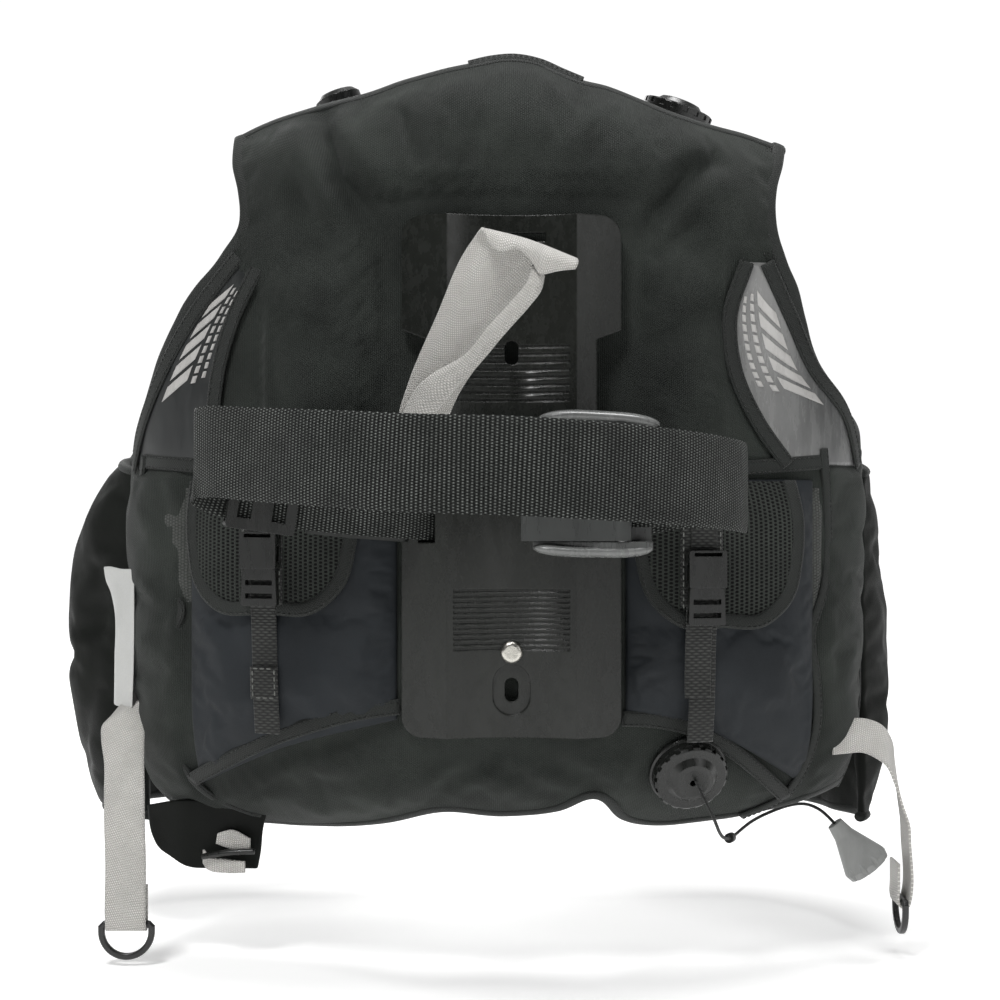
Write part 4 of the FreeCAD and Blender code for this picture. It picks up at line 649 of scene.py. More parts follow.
TOP_EDGE = [(-178, 236.5), (-167, 242), (-153, 247.5), (-130, 253), (-112, 257), (-92, 260.5), (-68, 268),
            (-44, 274), (-20, 279), (-6, 282), (6, 282), (18, 279.5), (30, 273), (43, 267.5), (60, 264.5),
            (80, 257.5), (101, 249.5), (122, 244), (146, 239.5), (177, 231)]
LEFT_EDGE = [(-285, -170), (-290, -60), (-290, 30), (-268, 52), (-245, 76), (-224, 109), (-200, 141),
             (-179, 163), (-168, 181), (-169, 200), (-175, 218), (-178, 236.5)]
RIGHT_EDGE = [(265, -170), (268, -60), (268, 40), (250, 56), (226, 68), (208, 82), (194, 97), (183.5, 122),
              (177.5, 143), (170, 158), (165.5, 171), (163, 187), (165, 203), (171, 217), (177, 231)]
HEM_EDGE = [(-285, -170), (-240, -186), (-193, -191), (-81, -188), (-42, -178), (-5, -181), (30, -177),
            (52, -169), (70, -184), (137, -187), (176, -180), (225, -172), (265, -170)]
LEFT_SIDE, RIGHT_SIDE = (194.3, 85), (173.2, 80)
BACK_RADIUS, BACK_OFFSET = 520, 10


def lean(distance, radius):
    """How far a surface has curved away, a distance along an arc of that radius."""
    share = np.clip(distance / radius, 0, 0.93)
    return radius * (1 - np.sqrt(1 - share * share))


def ridge_height(along):
    """The height of the top edge, evened out."""
    places, heights = np.array(TOP_EDGE, float).T
    return sum(np.interp(along + 8 * step, places, heights) for step in range(-4, 5)) / 9


def back_surface(along, height):
    """The back as a wide arc in plan with a tight one round each side, leaning over the shoulders and hem."""
    left = along < 0
    start, bend = np.where(left, LEFT_SIDE[0], RIGHT_SIDE[0]), np.where(left, LEFT_SIDE[1], RIGHT_SIDE[1])
    reach = np.abs(along)
    turn = np.minimum(reach, start) / BACK_RADIUS
    further = turn + np.maximum(reach - start, 0) / bend
    x = BACK_RADIUS * np.sin(turn) + bend * (np.sin(further) - np.sin(turn))
    y = BACK_OFFSET + BACK_RADIUS * (1 - np.cos(turn)) + bend * (np.cos(turn) - np.cos(further))
    sign = np.where(left, -1, 1)
    forward = lean(height - ridge_height(along) + 60, 80) + lean(-105 - height, 95)
    x = sign * x - sign * np.sin(further) * 0.4 * forward
    y = y + (0.55 + 0.45 * np.cos(further)) * forward
    return np.stack([x, y, height + 0 * along], -1)


def back_inward(along, height, step=2.0):
    """The direction into the vest, square to its back."""
    run = back_surface(along + step, height) - back_surface(along - step, height)
    rise = back_surface(along, height + step) - back_surface(along, height - step)
    return unit(np.cross(rise, run))


def back_point(along, height, depth=0.0):
    """A point on the curved back, from its place along and up it and a depth into it."""
    along, height = np.broadcast_arrays(np.asarray(along, float), np.asarray(height, float))
    return back_surface(along, height) + back_inward(along, height) * np.asarray(depth)[..., None]


def patch(left, right, low, high, columns, rows):
    """Grids of (along, height) and of (u, v) inside four meeting edges."""
    left, right = smooth(left, rows), smooth(right, rows)
    low, high = smooth(low, columns), smooth(high, columns)
    u = np.linspace(0, 1, columns)[:, None, None]
    v = np.linspace(0, 1, rows)[None, :, None]
    sides = left[None] * (1 - u) + right[None] * u
    ends = low[:, None] * (1 - v) + high[:, None] * v
    corners = (low[0] * (1 - u) + low[-1] * u) * (1 - v) + (high[0] * (1 - u) + high[-1] * u) * v
    return sides + ends - corners, (u + 0 * v)[..., 0], (v + 0 * u)[..., 0]


def rise_from(distance, run):
    """0 at an edge, rounding up to 1 a run away from it."""
    return np.sin(math.pi / 2 * np.clip(distance / run, 0, 1))


def pillow(u, v, least, edge=0.12):
    """1 over a patch, rounding down to least at its four edges."""
    full = rise_from(np.minimum(u, 1 - u), edge) * rise_from(np.minimum(v, 1 - v), edge)
    return least + (1 - least) * full


def edge_line(start, end):
    """A straight edge, with a point in its middle."""
    return [start, ((start[0] + end[0]) / 2, (start[1] + end[1]) / 2), end]


def box_edges(left, right, low, high):
    """The four edges of a rectangle, for patch()."""
    return (edge_line((left, low), (left, high)), edge_line((right, low), (right, high)),
            edge_line((left, low), (right, low)), edge_line((left, high), (right, high)))


def run_on_back(path, depth=0.0, step=3.0):
    """Points and outward directions along a path of (along, height) on the back."""
    flat = smooth(path, None, step)
    lift = depth(flat[:, 0], flat[:, 1]) if callable(depth) else depth
    return back_point(flat[:, 0], flat[:, 1], lift), -back_inward(flat[:, 0], flat[:, 1])


def tape_on_back(name, path, width, thick, depth=0.0, finish="binding", rows=(), pale=False, step=3.0):
    """A sewn tape along a path on the back, with rows of stitches at offsets across it."""
    line, outs = run_on_back(path, depth, step)
    sweep(name, line + outs * thick * 0.25, outs, flat_profile(width, thick, 7, 4), finish=finish)
    side = unit(np.cross(tangents(line), outs))
    for offset in rows:
        sewn.append((line + side * offset + outs * (thick * 0.75 + 0.1), outs, pale))


# ---------------------------------------------------------------- the back itself

SHELL_VALLEYS = [
    ([(-116, 246), (-110, 226), (-102, 205), (-88, 186), (-72, 172)], 8.5, 5.5),
    ([(-128, 196), (-118, 176), (-110, 168)], 7, 3.2),
    ([(122, 214), (104, 206), (88, 188), (78, 168), (70, 152)], 8.5, 5.5),
    ([(112, 178), (96, 168), (86, 158)], 6, 2.8),
    ([(-70, 96), (-98, 104), (-138, 128)], 11, 2.2),
    ([(70, 108), (96, 112), (124, 126)], 10, 2.2),
    ([(-66, 66), (-96, 60), (-128, 62)], 8, 1.8),
    ([(-40, -140), (-76, -152), (-118, -160)], 8, 2.6),
    ([(-18, -142), (-52, -166), (-80, -180)], 7, 2.4),
    ([(22, -140), (46, -154), (62, -176)], 8, 3.0),
    ([(0, -150), (30, -168), (60, -178)], 8, 2.0),
]
SHELL_RIDGES = [
    ([(-104, 240), (-92, 214), (-74, 196)], 10, 2.5),
    ([(-134, 234), (-122, 210), (-112, 190)], 10, 2.8),
    ([(112, 224), (126, 200), (130, 180)], 12, 2.4),
    ([(92, 172), (80, 148), (74, 128)], 8, 2.4),
    ([(-60, 212), (0, 224), (60, 210)], 18, 1.8),
]
PLATE_BOX = (-66, 66, -128, 181)


def inside_box(s, z, box, margin):
    """0 outside a box, 1 well within it."""
    left, right, low, high = box
    gap = np.minimum(np.minimum(s - left, right - s), np.minimum(z - low, high - z))
    return np.clip(gap / margin + 1, 0, 1)


def shell_depth(s, z, u, v):
    """Where the outer skin lies: full between its seams, pressed flat by the plate and what is sewn on."""
    full = pillow(u, v, 0.0, 0.085)
    pressed = inside_box(s, z, PLATE_BOX, 26)
    for shape in POCKETS.values():
        left, right = shape["sides"]
        low = np.interp(s, *np.array(shape["low"], float).T)
        gap = np.minimum(np.minimum(s - left, right - s), np.minimum(z - low, shape["top"] - z))
        pressed = np.maximum(pressed, np.clip(gap / 14 + 1, 0, 1))
    pressed = np.maximum(pressed, inside_box(s, z, (84, 136, -182, -124), 16))
    pressed = np.maximum(pressed, inside_box(s, z, (-262, -154, 32, 160), 6) * (s + z < -15))
    pressed = np.maximum(pressed, inside_box(s, z, (134, 240, 34, 160), 6) * (z + s > 150))
    depth = -4.2 * full * (1 - pressed)
    for path, width, amount in SHELL_VALLEYS:
        depth = depth + 1.5 * amount * crease(s, z, path, width) * full * (1 - pressed)
    for path, width, amount in SHELL_RIDGES:
        depth = depth - 1.7 * amount * crease(s, z, path, width) * full * (1 - pressed)
    depth = depth - 1.5 * crumple(s, z, 60, 5) * full * (1 - pressed)
    return np.where(pressed > 0.5, np.maximum(depth, -0.3), depth), pressed


def make_shell():
    """The padded back and its lining."""
    edges = (LEFT_EDGE, RIGHT_EDGE, HEM_EDGE, TOP_EDGE)
    grid, u, v = patch(*edges, 150, 132)
    s, z = grid[..., 0], grid[..., 1]
    depth, pressed = shell_depth(s, z, u, v)
    front = back_point(s, z, depth)
    rear = back_point(s, z, 4.5 + 17.5 * pillow(u, v, 0.0, 0.07))
    shell = slab("back_shell", front, rear, grid, finish="shell",
                 replaces=("back_shell_outer", "air_cell_back"))
    held = held_edges(u, v, 0.02)
    held[0] |= pressed > 0.35
    simulate(shell, held.ravel(), 3.0, 16, 4.5, 0.03, 0.3)
    refine(shell)
    back = back_point(s[::3, ::3], z[::3, ::3], (4.6 + 17.6 * pillow(u, v, 0.0, 0.07))[::3, ::3])
    inner = back_point(s[::3, ::3], z[::3, ::3], (6.0 + 18.0 * pillow(u, v, 0.0, 0.07))[::3, ::3])
    slab("back_lining", back, inner, grid[::3, ::3], finish="lining",
         replaces=("back_shell_lining",))


def edge_tape(name, edge, half=4.6, thick=6.4, rows=(-5.4,)):
    """Binding folded over an edge of the back, sewn through near its inner side."""
    line, outs = run_on_back(edge, 1.6, 2.5)
    side = unit(np.cross(tangents(line), outs))
    turn = np.linspace(0, math.tau, 16, endpoint=False)
    bulge = np.stack([np.sign(np.cos(turn)) * np.abs(np.cos(turn)) ** 0.6 * half,
                      np.sign(np.sin(turn)) * np.abs(np.sin(turn)) ** 0.6 * thick / 2], 1)
    inward = np.sign((side[len(side) // 2] * -line[len(line) // 2]).sum())
    wobble = 0.35 * value_noise(lengths(line) / 14, 0 * lengths(line), 9)[:, None]
    shifted = line + side * inward * (half * 0.9 + wobble)
    sweep(name, shifted, outs, bulge, finish="binding")
    for offset in rows:
        place = line + side * inward * (-offset + half * 0.4) + outs * (thick / 2 * 0.86 + 0.1)
        sewn.append((place, outs, False))


def make_edges():
    """Bindings and seams along the edges of the back."""
    edge_tape("binding_left", LEFT_EDGE)
    edge_tape("binding_right", RIGHT_EDGE)
    edge_tape("binding_hem", HEM_EDGE, 3.6, 5.6, ())
    edge_tape("binding_top", TOP_EDGE, 3.4, 5.4, ())
    collar = [(-26, 275.5), (-12, 279), (4, 280.6), (18, 277.5), (30, 271.5), (44, 265.5)]
    line, outs = run_on_back(collar, 1.0, 1.5)
    up = np.array([0, 0, 1.0])
    band = flat_profile(9, 6.5, 9, 3)
    sweep("collar_band", line + up * 1.2 + np.array([0, 2.0, 0]), outs, band, finish="binding")
    for rise in (-1.6, 2.6):
        sewn.append((line + up * (1.2 + rise) + np.array([0, -1.0, 0]), outs, False))
    for name, path in (("armhole_seam_left", LEFT_EDGE[5:]), ("armhole_seam_right", RIGHT_EDGE[5:])):
        sign = 1 if "left" in name else -1
        for offset in (10.5, 13.5):
            inner = [(s + sign * offset, z) for s, z in path]
            line, outs = run_on_back(inner, -0.9)
            sewn.append((line, outs, False))


# ---------------------------------------------------------------- side patches with plain stripes

PATCHES = {
    "left": ([(-262, 32), (-250, 52), (-226, 87), (-196, 128), (-168, 160)],
             [(-180, 32), (-184, 52), (-182, 85), (-172, 120), (-152, 158)]),
    "right": ([(170, 34), (150, 60), (135, 92), (132, 122), (143, 156)],
              [(236, 34), (219, 64), (188, 93), (172, 124), (156, 156)]),
}


def make_patches():
    """The vinyl patches at the sides, with their borders and bars."""
    for side, (left, right) in PATCHES.items():
        low, high = edge_line(left[0], right[0]), edge_line(left[-1], right[-1])
        grid, u, v = patch(left, right, low, high, 33, 57)
        s, z = grid[..., 0], grid[..., 1]
        rise = 1.4 + 1.0 * pillow(u, v, 0.0, 0.2) + 0.25 * crumple(s, z, 30, 3)
        # The right patch's finish is a lighter copy of the left's; the difference is a painted reflection.
        slab(f"side_patch_{side}", back_point(s, z, -rise), back_point(s, z, 0.4), grid, finish=f"vinyl_{side}",
             replaces=("side_patches",) if side == "left" else ())
        inner = left if side == "right" else right
        outer = right if side == "right" else left
        for name, path in (("inner", inner), ("outer", outer)):
            tape_on_back(f"patch_border_{side}_{name}", path, 9.5, 2.0, -2.2, rows=(-3.2, 3.2), step=2.5)
        make_stripes(side, left, right)


def make_stripes(side, left, right):
    """Plain raised bars across the patch, in place of any mark."""
    left, right = smooth(left, 61), smooth(right, 61)
    points, faces, plan = [], [], []

    def bar(u_low, u_high, v_low, v_high, slant):
        rows, columns = 13, 5
        v, u = np.meshgrid(np.linspace(v_low, v_high, rows), np.linspace(u_low, u_high, columns), indexing="ij")
        v = np.clip(v + slant * (u - 0.5), 0, 1)
        index = v * 60
        low = np.floor(index).astype(int).clip(0, 59)
        share = (index - low)[..., None]
        a = left[low] * (1 - share) + left[low + 1] * share
        b = right[low] * (1 - share) + right[low + 1] * share
        flat = a * (1 - u[..., None]) + b * u[..., None]
        edge = pillow(np.linspace(0, 1, rows)[:, None] + 0 * u,
                      np.linspace(0, 1, columns)[None] + 0 * u, 0.0, 0.1)
        place = back_point(flat[..., 0], flat[..., 1], -(2.5 + 0.9 * edge))
        quads, _, _ = lattice(rows, columns, offset=sum(len(p) for p in points))
        points.append(place.reshape(-1, 3))
        faces.extend(quads.tolist())
        plan.append(flat.reshape(-1, 2))

    mirror = side == "right"
    groups = ((0.24, 0.54, 0.38, 0.87, 5, 0.34), (0.61, 0.68, 0.38, 0.85, 10, 0.1),
              (0.75, 0.81, 0.40, 0.83, 10, 0.1))
    for u_low, u_high, v_low, v_high, count, slant in groups:
        if mirror:
            u_low, u_high, slant = 1 - u_high, 1 - u_low, -slant
        size = (v_high - v_low) / count
        for step in range(count):
            bar(u_low, u_high, v_low + size * step + size * 0.14, v_low + size * (step + 1) - size * 0.14,
                slant * size / 0.1)
    flat = np.concatenate(plan)
    mesh_object(f"patch_bars_{side}", np.concatenate(points), faces, flat[np.array(faces)], "print")


# ---------------------------------------------------------------- rear pockets

POCKETS = {
    "left": {"sides": (-200, -68), "low": [(-200, -163), (-140, -137), (-68, -118)], "top": 25,
             "flap": (-194, -93, -52)},
    "right": {"sides": (68, 188), "low": [(68, -116), (110, -123), (188, -163)], "top": 25,
              "flap": (76, 169, -60)},
}


def pocket_height(side, s, z):
    """How far a rear pocket stands out from the back."""
    shape = POCKETS[side]
    left, right = shape["sides"]
    low = np.interp(s, *np.array(shape["low"], float).T)
    gaps = (s - left, right - s, z - low, shape["top"] - z)
    bulge = math.prod(rise_from(gap, 30) for gap in gaps)
    return 1.6 + 12 * bulge


POCKET_FOLDS = {
    "left": [([(-170, -60), (-150, -100), (-120, -125)], 9, 1.8),
             ([(-90, -60), (-98, -95), (-110, -118)], 8, 1.6),
             ([(-185, -80), (-176, -120), (-170, -140)], 7, 1.6)],
    "right": [([(86, -62), (92, -90), (104, -112)], 8, 1.6), ([(140, -66), (152, -100), (166, -132)], 9, 2.0),
              ([(120, -80), (126, -104), (134, -126)], 7, 1.2)],
}
SIDE_SEAMS = {
    "left": [(-243, 40), (-250, 4), (-238, -24), (-222, -42), (-207, -54), (-214, -70), (-219, -89),
             (-221, -128), (-202, -165), (-165, -184)],
    "right": [(196, 44), (199, 12), (197, -40), (186, -70), (190, -96), (190, -136), (176, -169), (150, -183)],
}
GUSSETS = {
    "left": ([(-246, 20), (-246, 0), (-232, -28), (-210, -50)],
             [(-200, 20), (-200, 0), (-200, -28), (-198, -50)]),
    "right": ([(174, 20), (174, -10), (172, -40), (174, -66)], [(196, 20), (197, -10), (195, -40), (186, -66)]),
}
TRIMS = {
    "left": [(-206, -160), (-178, -145), (-153, -133), (-126, -123), (-89, -113), (-66, -110)],
    "right": [(66, -117), (84, -118), (104, -122), (132, -136), (162, -158), (177, -170)],
}


def make_pockets():
    """The two rear pockets, and the tapes over their edges."""
    for side, shape in POCKETS.items():
        left, right = shape["sides"]
        low, top = shape["low"], shape["top"]
        edges = (edge_line(low[0], (left, top)), edge_line(low[-1], (right, top)), low,
                 edge_line((left, top), (right, top)))
        grid, u, v = patch(*edges, 64, 84)
        s, z = grid[..., 0], grid[..., 1]
        inside = pillow(u, v, 0.0, 0.12)
        height = pocket_height(side, s, z) + 0.4
        for path, width, amount in POCKET_FOLDS[side]:
            height = height - amount * crease(s, z, path, width) * inside
        height = height + 0.5 * crumple(s, z, 34, 11) * inside
        pocket = slab(f"rear_pocket_{side}", back_point(s, z, -height), back_point(s, z, 0.6), grid,
                      finish="pocket", replaces=(f"trim_pocket_{side}",))
        held = held_edges(u, v, 0.03)
        flap_left, flap_right, flap_low = shape["flap"]
        held[0] |= (z > flap_low - 4) & (s > flap_left - 6) & (s < flap_right + 6)
        simulate(pocket, held.ravel(), 2.5, 14, 2.2, 0.025, 0.2)
        refine(pocket)
        make_gusset(side)
        tape_on_back(f"pocket_trim_{side}", TRIMS[side], 9.5, 2.2,
                     lambda s, z, side=side: -pocket_height(side, s, z) * 0.6 - 1.4, rows=(-3.4, 3.4))
        tape_on_back(f"side_binding_{side}", SIDE_SEAMS[side], 6.5, 2.6, -1.6, rows=(-1.9,))
        band = [(left - 44, top + 12), (left, top + 9), ((left + right) / 2, top + 5), (right, top + 3)]
        if side == "right":
            band = [(left, top + 3), ((left + right) / 2, top + 6), (right + 8, top + 11)]
        tape_on_back(f"pocket_top_{side}", band, 9, 2.0, -1.2, rows=(-3.2, 3.2))
        make_flap(side, *shape["flap"], top)


def make_gusset(side):
    """The gusset beside a rear pocket."""
    left, right = GUSSETS[side]
    grid, u, v = patch(left, right, edge_line(left[0], right[0]), edge_line(left[-1], right[-1]), 15, 31)
    s, z = grid[..., 0], grid[..., 1]
    rise = 0.6 + 2.2 * pillow(u, v, 0.0, 0.3) + 0.4 * crumple(s, z, 20, 4)
    slab(f"pocket_gusset_{side}", back_point(s, z, -rise), back_point(s, z, 0.5), grid, finish="gusset")


def make_flap(side, left, right, low, top):
    """A mesh flap over a rear pocket, with its binding."""
    corner = 26
    left_edge = [(left + corner * 0.9, low + 1), (left + corner * 0.25, low + corner * 0.6),
                 (left, low + corner * 1.5), (left, top - 1)]
    right_edge = [(right - corner * 0.9, low + 1), (right - corner * 0.25, low + corner * 0.6),
                  (right, low + corner * 1.5), (right, top - 1)]
    edges = (left_edge, right_edge, edge_line(left_edge[0], right_edge[0]),
             edge_line(left_edge[-1], right_edge[-1]))
    grid, u, v = patch(*edges, 41, 37)
    s, z = grid[..., 0], grid[..., 1]
    base = pocket_height(side, s, z) + 1.4
    rise = base + 2.2 + 0.8 * pillow(u, v, 0.0, 0.2) + 0.3 * crumple(s, z, 28, 7)
    flap = slab(f"mesh_flap_{side}", back_point(s, z, -rise), back_point(s, z, -base), grid, finish="mesh",
                replaces=(f"pocket_flap_{side}",))
    refine(flap)
    rim = [*left_edge[::-1], *edge_line(left_edge[0], right_edge[0])[1:2], *right_edge]
    tape_on_back(f"flap_binding_{side}", rim, 8.5, 3.4,
                 lambda s, z, side=side: -pocket_height(side, s, z) - 3.2, rows=(2.6,), step=2.5)


# ---------------------------------------------------------------- small straps on the back

def frame_on_back(s, z, depth, turn):
    """Origin, across and out directions of an upright piece on the back, turned about Z."""
    origin = back_point(s, z, depth)
    angle = math.radians(turn)
    return (origin, np.array([math.cos(angle), math.sin(angle), 0]),
            np.array([math.sin(angle), -math.cos(angle), 0]))


REAR_STRAPS = {
    "left": {"seat": (-144, -28), "turn": -15.9, "top": 22, "bottom": -127},
    "right": {"seat": (110, -39), "turn": 12.1, "top": 20, "bottom": -131},
}


def make_rear_straps():
    """The webbing of the release buckles on the back."""
    for side, about in REAR_STRAPS.items():
        s, z = about["seat"]
        origin, across, out = frame_on_back(s, z, -19, about["turn"])
        upper = [origin * [1, 1, 0] + out * 1.25 + np.array([0, 0, h]) for h in
                 (about["top"], (about["top"] + z + 22) / 2, z + 22.6)]
        strap(f"rear_strap_{side}_upper", upper, across, 16, 1.5, finish="strap",
              replaces=(f"rear_strap_{side}",))
        surface = []
        for height in (z - 3, z - 16, z - 34, z - 52, z - 70, about["bottom"]):
            here = back_point(s, height, 0)
            lift = 19 - max(0.0, (z - 16 - height)) * 0.06
            lift = max(lift, pocket_height(side, s, height) + 2.4)
            surface.append(np.array([here[0], here[1], 0]) * [1, 1, 0] + out * lift + np.array([0, 0, height]))
        surface[0] = origin * [1, 1, 0] + out * 1.25 + np.array([0, 0, z - 3])
        surface[1] = origin * [1, 1, 0] + out * 1.0 + np.array([0, 0, z - 16])
        strap(f"rear_strap_{side}_lower", surface, across, 16, 1.5, finish="strap")
        line = smooth(surface, 60)
        if side == "left":
            pick = [line[k] + out * 1.7 for k in (34, 37, 40, 43, 46)]
            strap("strap_keeper_left", pick, across, 17.5, 2.0, 1.5, finish="strap")
            place = smooth(pick, 20)
            box = [(-7, 1), (7, 1), (7, 18), (-7, 18), (-7, 1)]
            for (x1, k1), (x2, k2) in zip(box, box[1:]):
                ends = np.stack([place[k1] + across * x1, place[k2] + across * x2])
                path = np.linspace(ends[0], ends[1], 8) + out * 1.3
                sewn.append((path, np.repeat(out[None], 8, 0), True))
        else:
            tail = [line[k] + out * 1.9 + across * (-3.5) for k in (4, 12, 20, 28, 36, 41)]
            tail[-1] = tail[-1] + out * 1.2
            strap("strap_tail_right", tail, across, 16, 1.5, finish="strap")
        make_under_strap(side, s, about["top"] - 2)


def make_under_strap(side, s, high):
    """The stitched strip on the flap that the small strap's upper end is sewn to."""
    low = -50
    flat = [(s - 1, high), (s - 1, (high + low) / 2), (s - 1, low)]
    tape_on_back(f"flap_strip_{side}", flat, 26, 1.6, lambda s, z, side=side: -pocket_height(side, s, z) - 4.8,
                 finish="strap", rows=(-11.4, 11.4), pale=True)


# ---------------------------------------------------------------- tank band and valve strap

BAND_ROUTE = [(76, -20, 22), (88, -20.5, 22), (95, -15.5, 21), (86, -10.5, 19), (71, -9, 16.5), (57, -5.5, 15),
              (48, 1.5, 14), (41, 5.6, 14), (30, 7.3, 14), (14, 8, 14), (-14, 8, 14), (-30, 7.3, 14),
              (-41, 5.6, 14), (-48, 1.5, 14), (-57, -5.5, 14.6), (-68, -11.7, 15.5), (-92, -19.8, 17.5),
              (-118, -28.6, 20.5), (-144, -37.4, 24), (-158, -42.3, 27), (-168, -47.5, 31),
              (-174, -54, 35), (-175.5, -63, 38), (-168, -76, 39), (-140, -104, 37), (-95, -140, 34),
              (-45, -162, 31), (-5, -167, 30), (35, -158, 28), (80, -130, 25), (112, -95, 22),
              (126, -72, 20), (130, -58, 19), (126, -46, 20), (114, -37, 21), (96, -32.6, 22),
              (76, -31.3, 22), (50, -31, 22), (16, -31, 22)]


def make_band():
    """The tank band's webbing and its rubber grip pad."""
    strap("tank_band_webbing", BAND_ROUTE, (0, 0, 1), 50, 2.5, 2.0, finish="band",
          replaces=("tank_band",))
    line = smooth(BAND_ROUTE, 700)
    keep = (line[:, 0] > -121) & (line[:, 0] < -58) & (line[:, 1] > -60)
    run = line[keep][::4]
    away = unit(np.cross(tangents(run), [0, 0, 1.0]))
    middle = run + away * 3.85
    sweep("band_grip_pad", middle, away, flat_profile(54, 4, 13, 6), np.repeat([[0, 0, 1.0]], len(run), 0),
          finish="rubber", replaces=("band_pad",))
    make_pad_studs(middle, away)


def make_pad_studs(line, away):
    """Rows of small moulded studs on the rubber pad's face."""
    far = lengths(line)
    points, faces = [], []
    rings = [(1.5, 0.0), (1.35, 0.5), (0.8, 0.75), (0.0, 0.82)]
    for distance in np.arange(5, far[-1] - 3, 6.5):
        here = np.array([np.interp(distance, far, line[:, k]) for k in range(3)])
        out = np.array([np.interp(distance, far, away[:, k]) for k in range(3)])
        side = np.cross(out, [0, 0, 1.0])
        for z in np.arange(-22, 23, 5.5):
            base = len(points)
            for radius, rise in rings:
                for k in range(8):
                    turn = math.tau * k / 8
                    points.append(here + out * (1.9 + rise) + side * radius * math.cos(turn)
                                  + np.array([0, 0, z + radius * math.sin(turn)]))
            for ring in range(3):
                for k in range(8):
                    faces.append([base + ring * 8 + k, base + ring * 8 + (k + 1) % 8,
                                  base + ring * 8 + 8 + (k + 1) % 8, base + ring * 8 + 8 + k])
    mesh_object("band_pad_studs", np.array(points), faces, None, "rubber", outward=True)


def make_cam_rails():
    """Rounded rails along the cam buckle's two cheeks, in a lighter copy of the buckle plastic that paints their
    highlight.
    """
    routes = {
        "cam_rail_top": [(15, -38, 58.6), (28, -38, 60.4), (50, -38, 60.0), (72, -38, 58.0), (84, -38, 55.4)],
        "cam_rail_low": [(12, -38, -14.4), (28, -38, -16.2), (50, -38, -16.8), (68, -38, -16.6), (80, -38, -15)],
    }
    for name, route in routes.items():
        line = smooth(route, step=1.5)
        share = np.linspace(-1, 1, len(line))
        taper = np.maximum(1 - np.abs(share) ** 8, 0.06) ** 0.5
        oval = oval_profile(8, 3.3, 20)
        outs = np.repeat([[0.0, 0.0, 1.0]], len(line), 0)
        sweep(name, line, outs, oval[None] * taper[:, None, None], finish="rail")


def make_valve_strap():
    """Grey webbing that stands up from the plate, folds over at its top, and comes down again rolled up."""
    rows = [
        [(-66, -19, 46), (-53, -18, 46), (-40, -18, 46)], [(-65, -24, 62), (-51, -24, 60), (-37, -24, 58)],
        [(-60, -31, 77), (-46, -34, 74), (-32, -31, 70)], [(-42, -48, 117), (-25, -52, 110), (-9, -48, 103)],
        [(-26, -62, 151), (-8, -66, 143), (12, -62, 134)], [(-19, -70, 160), (3, -71, 153), (26, -69, 143)],
        [(-17, -74, 161.5), (8, -75, 155), (34.5, -73, 145)],
        [(-16, -78, 160), (8, -81, 152.5), (35.8, -78, 143)],
        [(-14.5, -80, 156), (8, -84, 149), (35.5, -81, 140.5)],
        [(-13, -80, 153), (-7, -82, 148), (3, -83, 149.5), (10, -84, 143), (15, -84, 135.5), (24, -83, 137),
         (34, -81, 138.5)],
    ]
    webbing_sheet("valve_strap_webbing", rows, 25, 150, 1.8, finish="grey",
                  replaces=("valve_strap",))
    route = [(14, -78, 138), (12.5, -80, 131), (5, -79, 120.5), (-10, -76, 104), (-22, -70, 90.5),
             (-38, -60, 78), (-50, -46, 66), (-56, -34, 56), (-60, -27, 46)]
    line = smooth(route, 90)
    share = np.linspace(0, 1, len(line))[:, None]
    turn = np.linspace(0, math.tau, 26, endpoint=False)[None]
    wide = 4.4 + 4.8 * ease((share - 0.42) / 0.3)
    deep = 3.6 - 1.2 * ease((share - 0.5) / 0.3)
    roll = 1 + 0.10 * np.sin(turn * 2 + share * 5) + 0.05 * np.sin(turn * 5 - share * 11)
    profile = np.stack([np.cos(turn) * wide * roll, np.sin(turn) * deep * roll + 0 * share], -1)
    across = np.repeat(unit(np.array([0.80, -0.18, -0.57]))[None], len(line), 0)
    sweep("valve_strap_roll", line, None, profile, across, finish="grey")


# ---------------------------------------------------------------- side lobes

LOBE_PLAN = {
    "left": [(-238, 137), (-253, 144), (-271, 162), (-279, 187), (-266, 218), (-236, 244), (-196, 260),
             (-145, 269), (-95, 274)],
    "right": [(229, 129), (237, 140), (243, 157), (242, 185), (233, 216), (214, 242), (184, 259), (140, 268),
              (95, 272)],
}
# how far each lobe stands out past its plan at a height, where it passes the wearer's side
LOBE_LEAN = {
    "left": [(-195, -4), (-164, 0), (-137, 6), (-110, 11), (-83, 14), (-55, 12), (-28, 8), (-15, 5), (-1, 1),
             (12, -5), (26, -12), (40, -22)],
    "right": [(-195, -22), (-155, -8), (-120, 1), (-90, 3), (-60, 0), (-36, -6), (-22, -12), (-8, -19),
              (15, -22), (40, -26)],
}
LOBE_TOP = [(0, 30), (0.2, 38), (0.45, 58), (0.7, 82), (0.85, 90), (1, 88)]
LOBE_BOTTOM = -195


def lobe_lean(side, share, height):
    """The lean at a height, full at the wearer's side and fading towards both ends of the lobe."""
    heights, amounts = np.array(LOBE_LEAN[side], float).T
    return np.interp(height, heights, amounts) * ease(share / 0.25) * ease((0.85 - share) / 0.4)


def lobe_top(share):
    """How high a side lobe reaches at a share of its way round the side."""
    places, heights = np.array(LOBE_TOP, float).T
    i = np.clip(np.searchsorted(places, share, side="right") - 1, 0, len(places) - 2)
    return heights[i] + (heights[i + 1] - heights[i]) * ease((share - places[i]) / (places[i + 1] - places[i]))


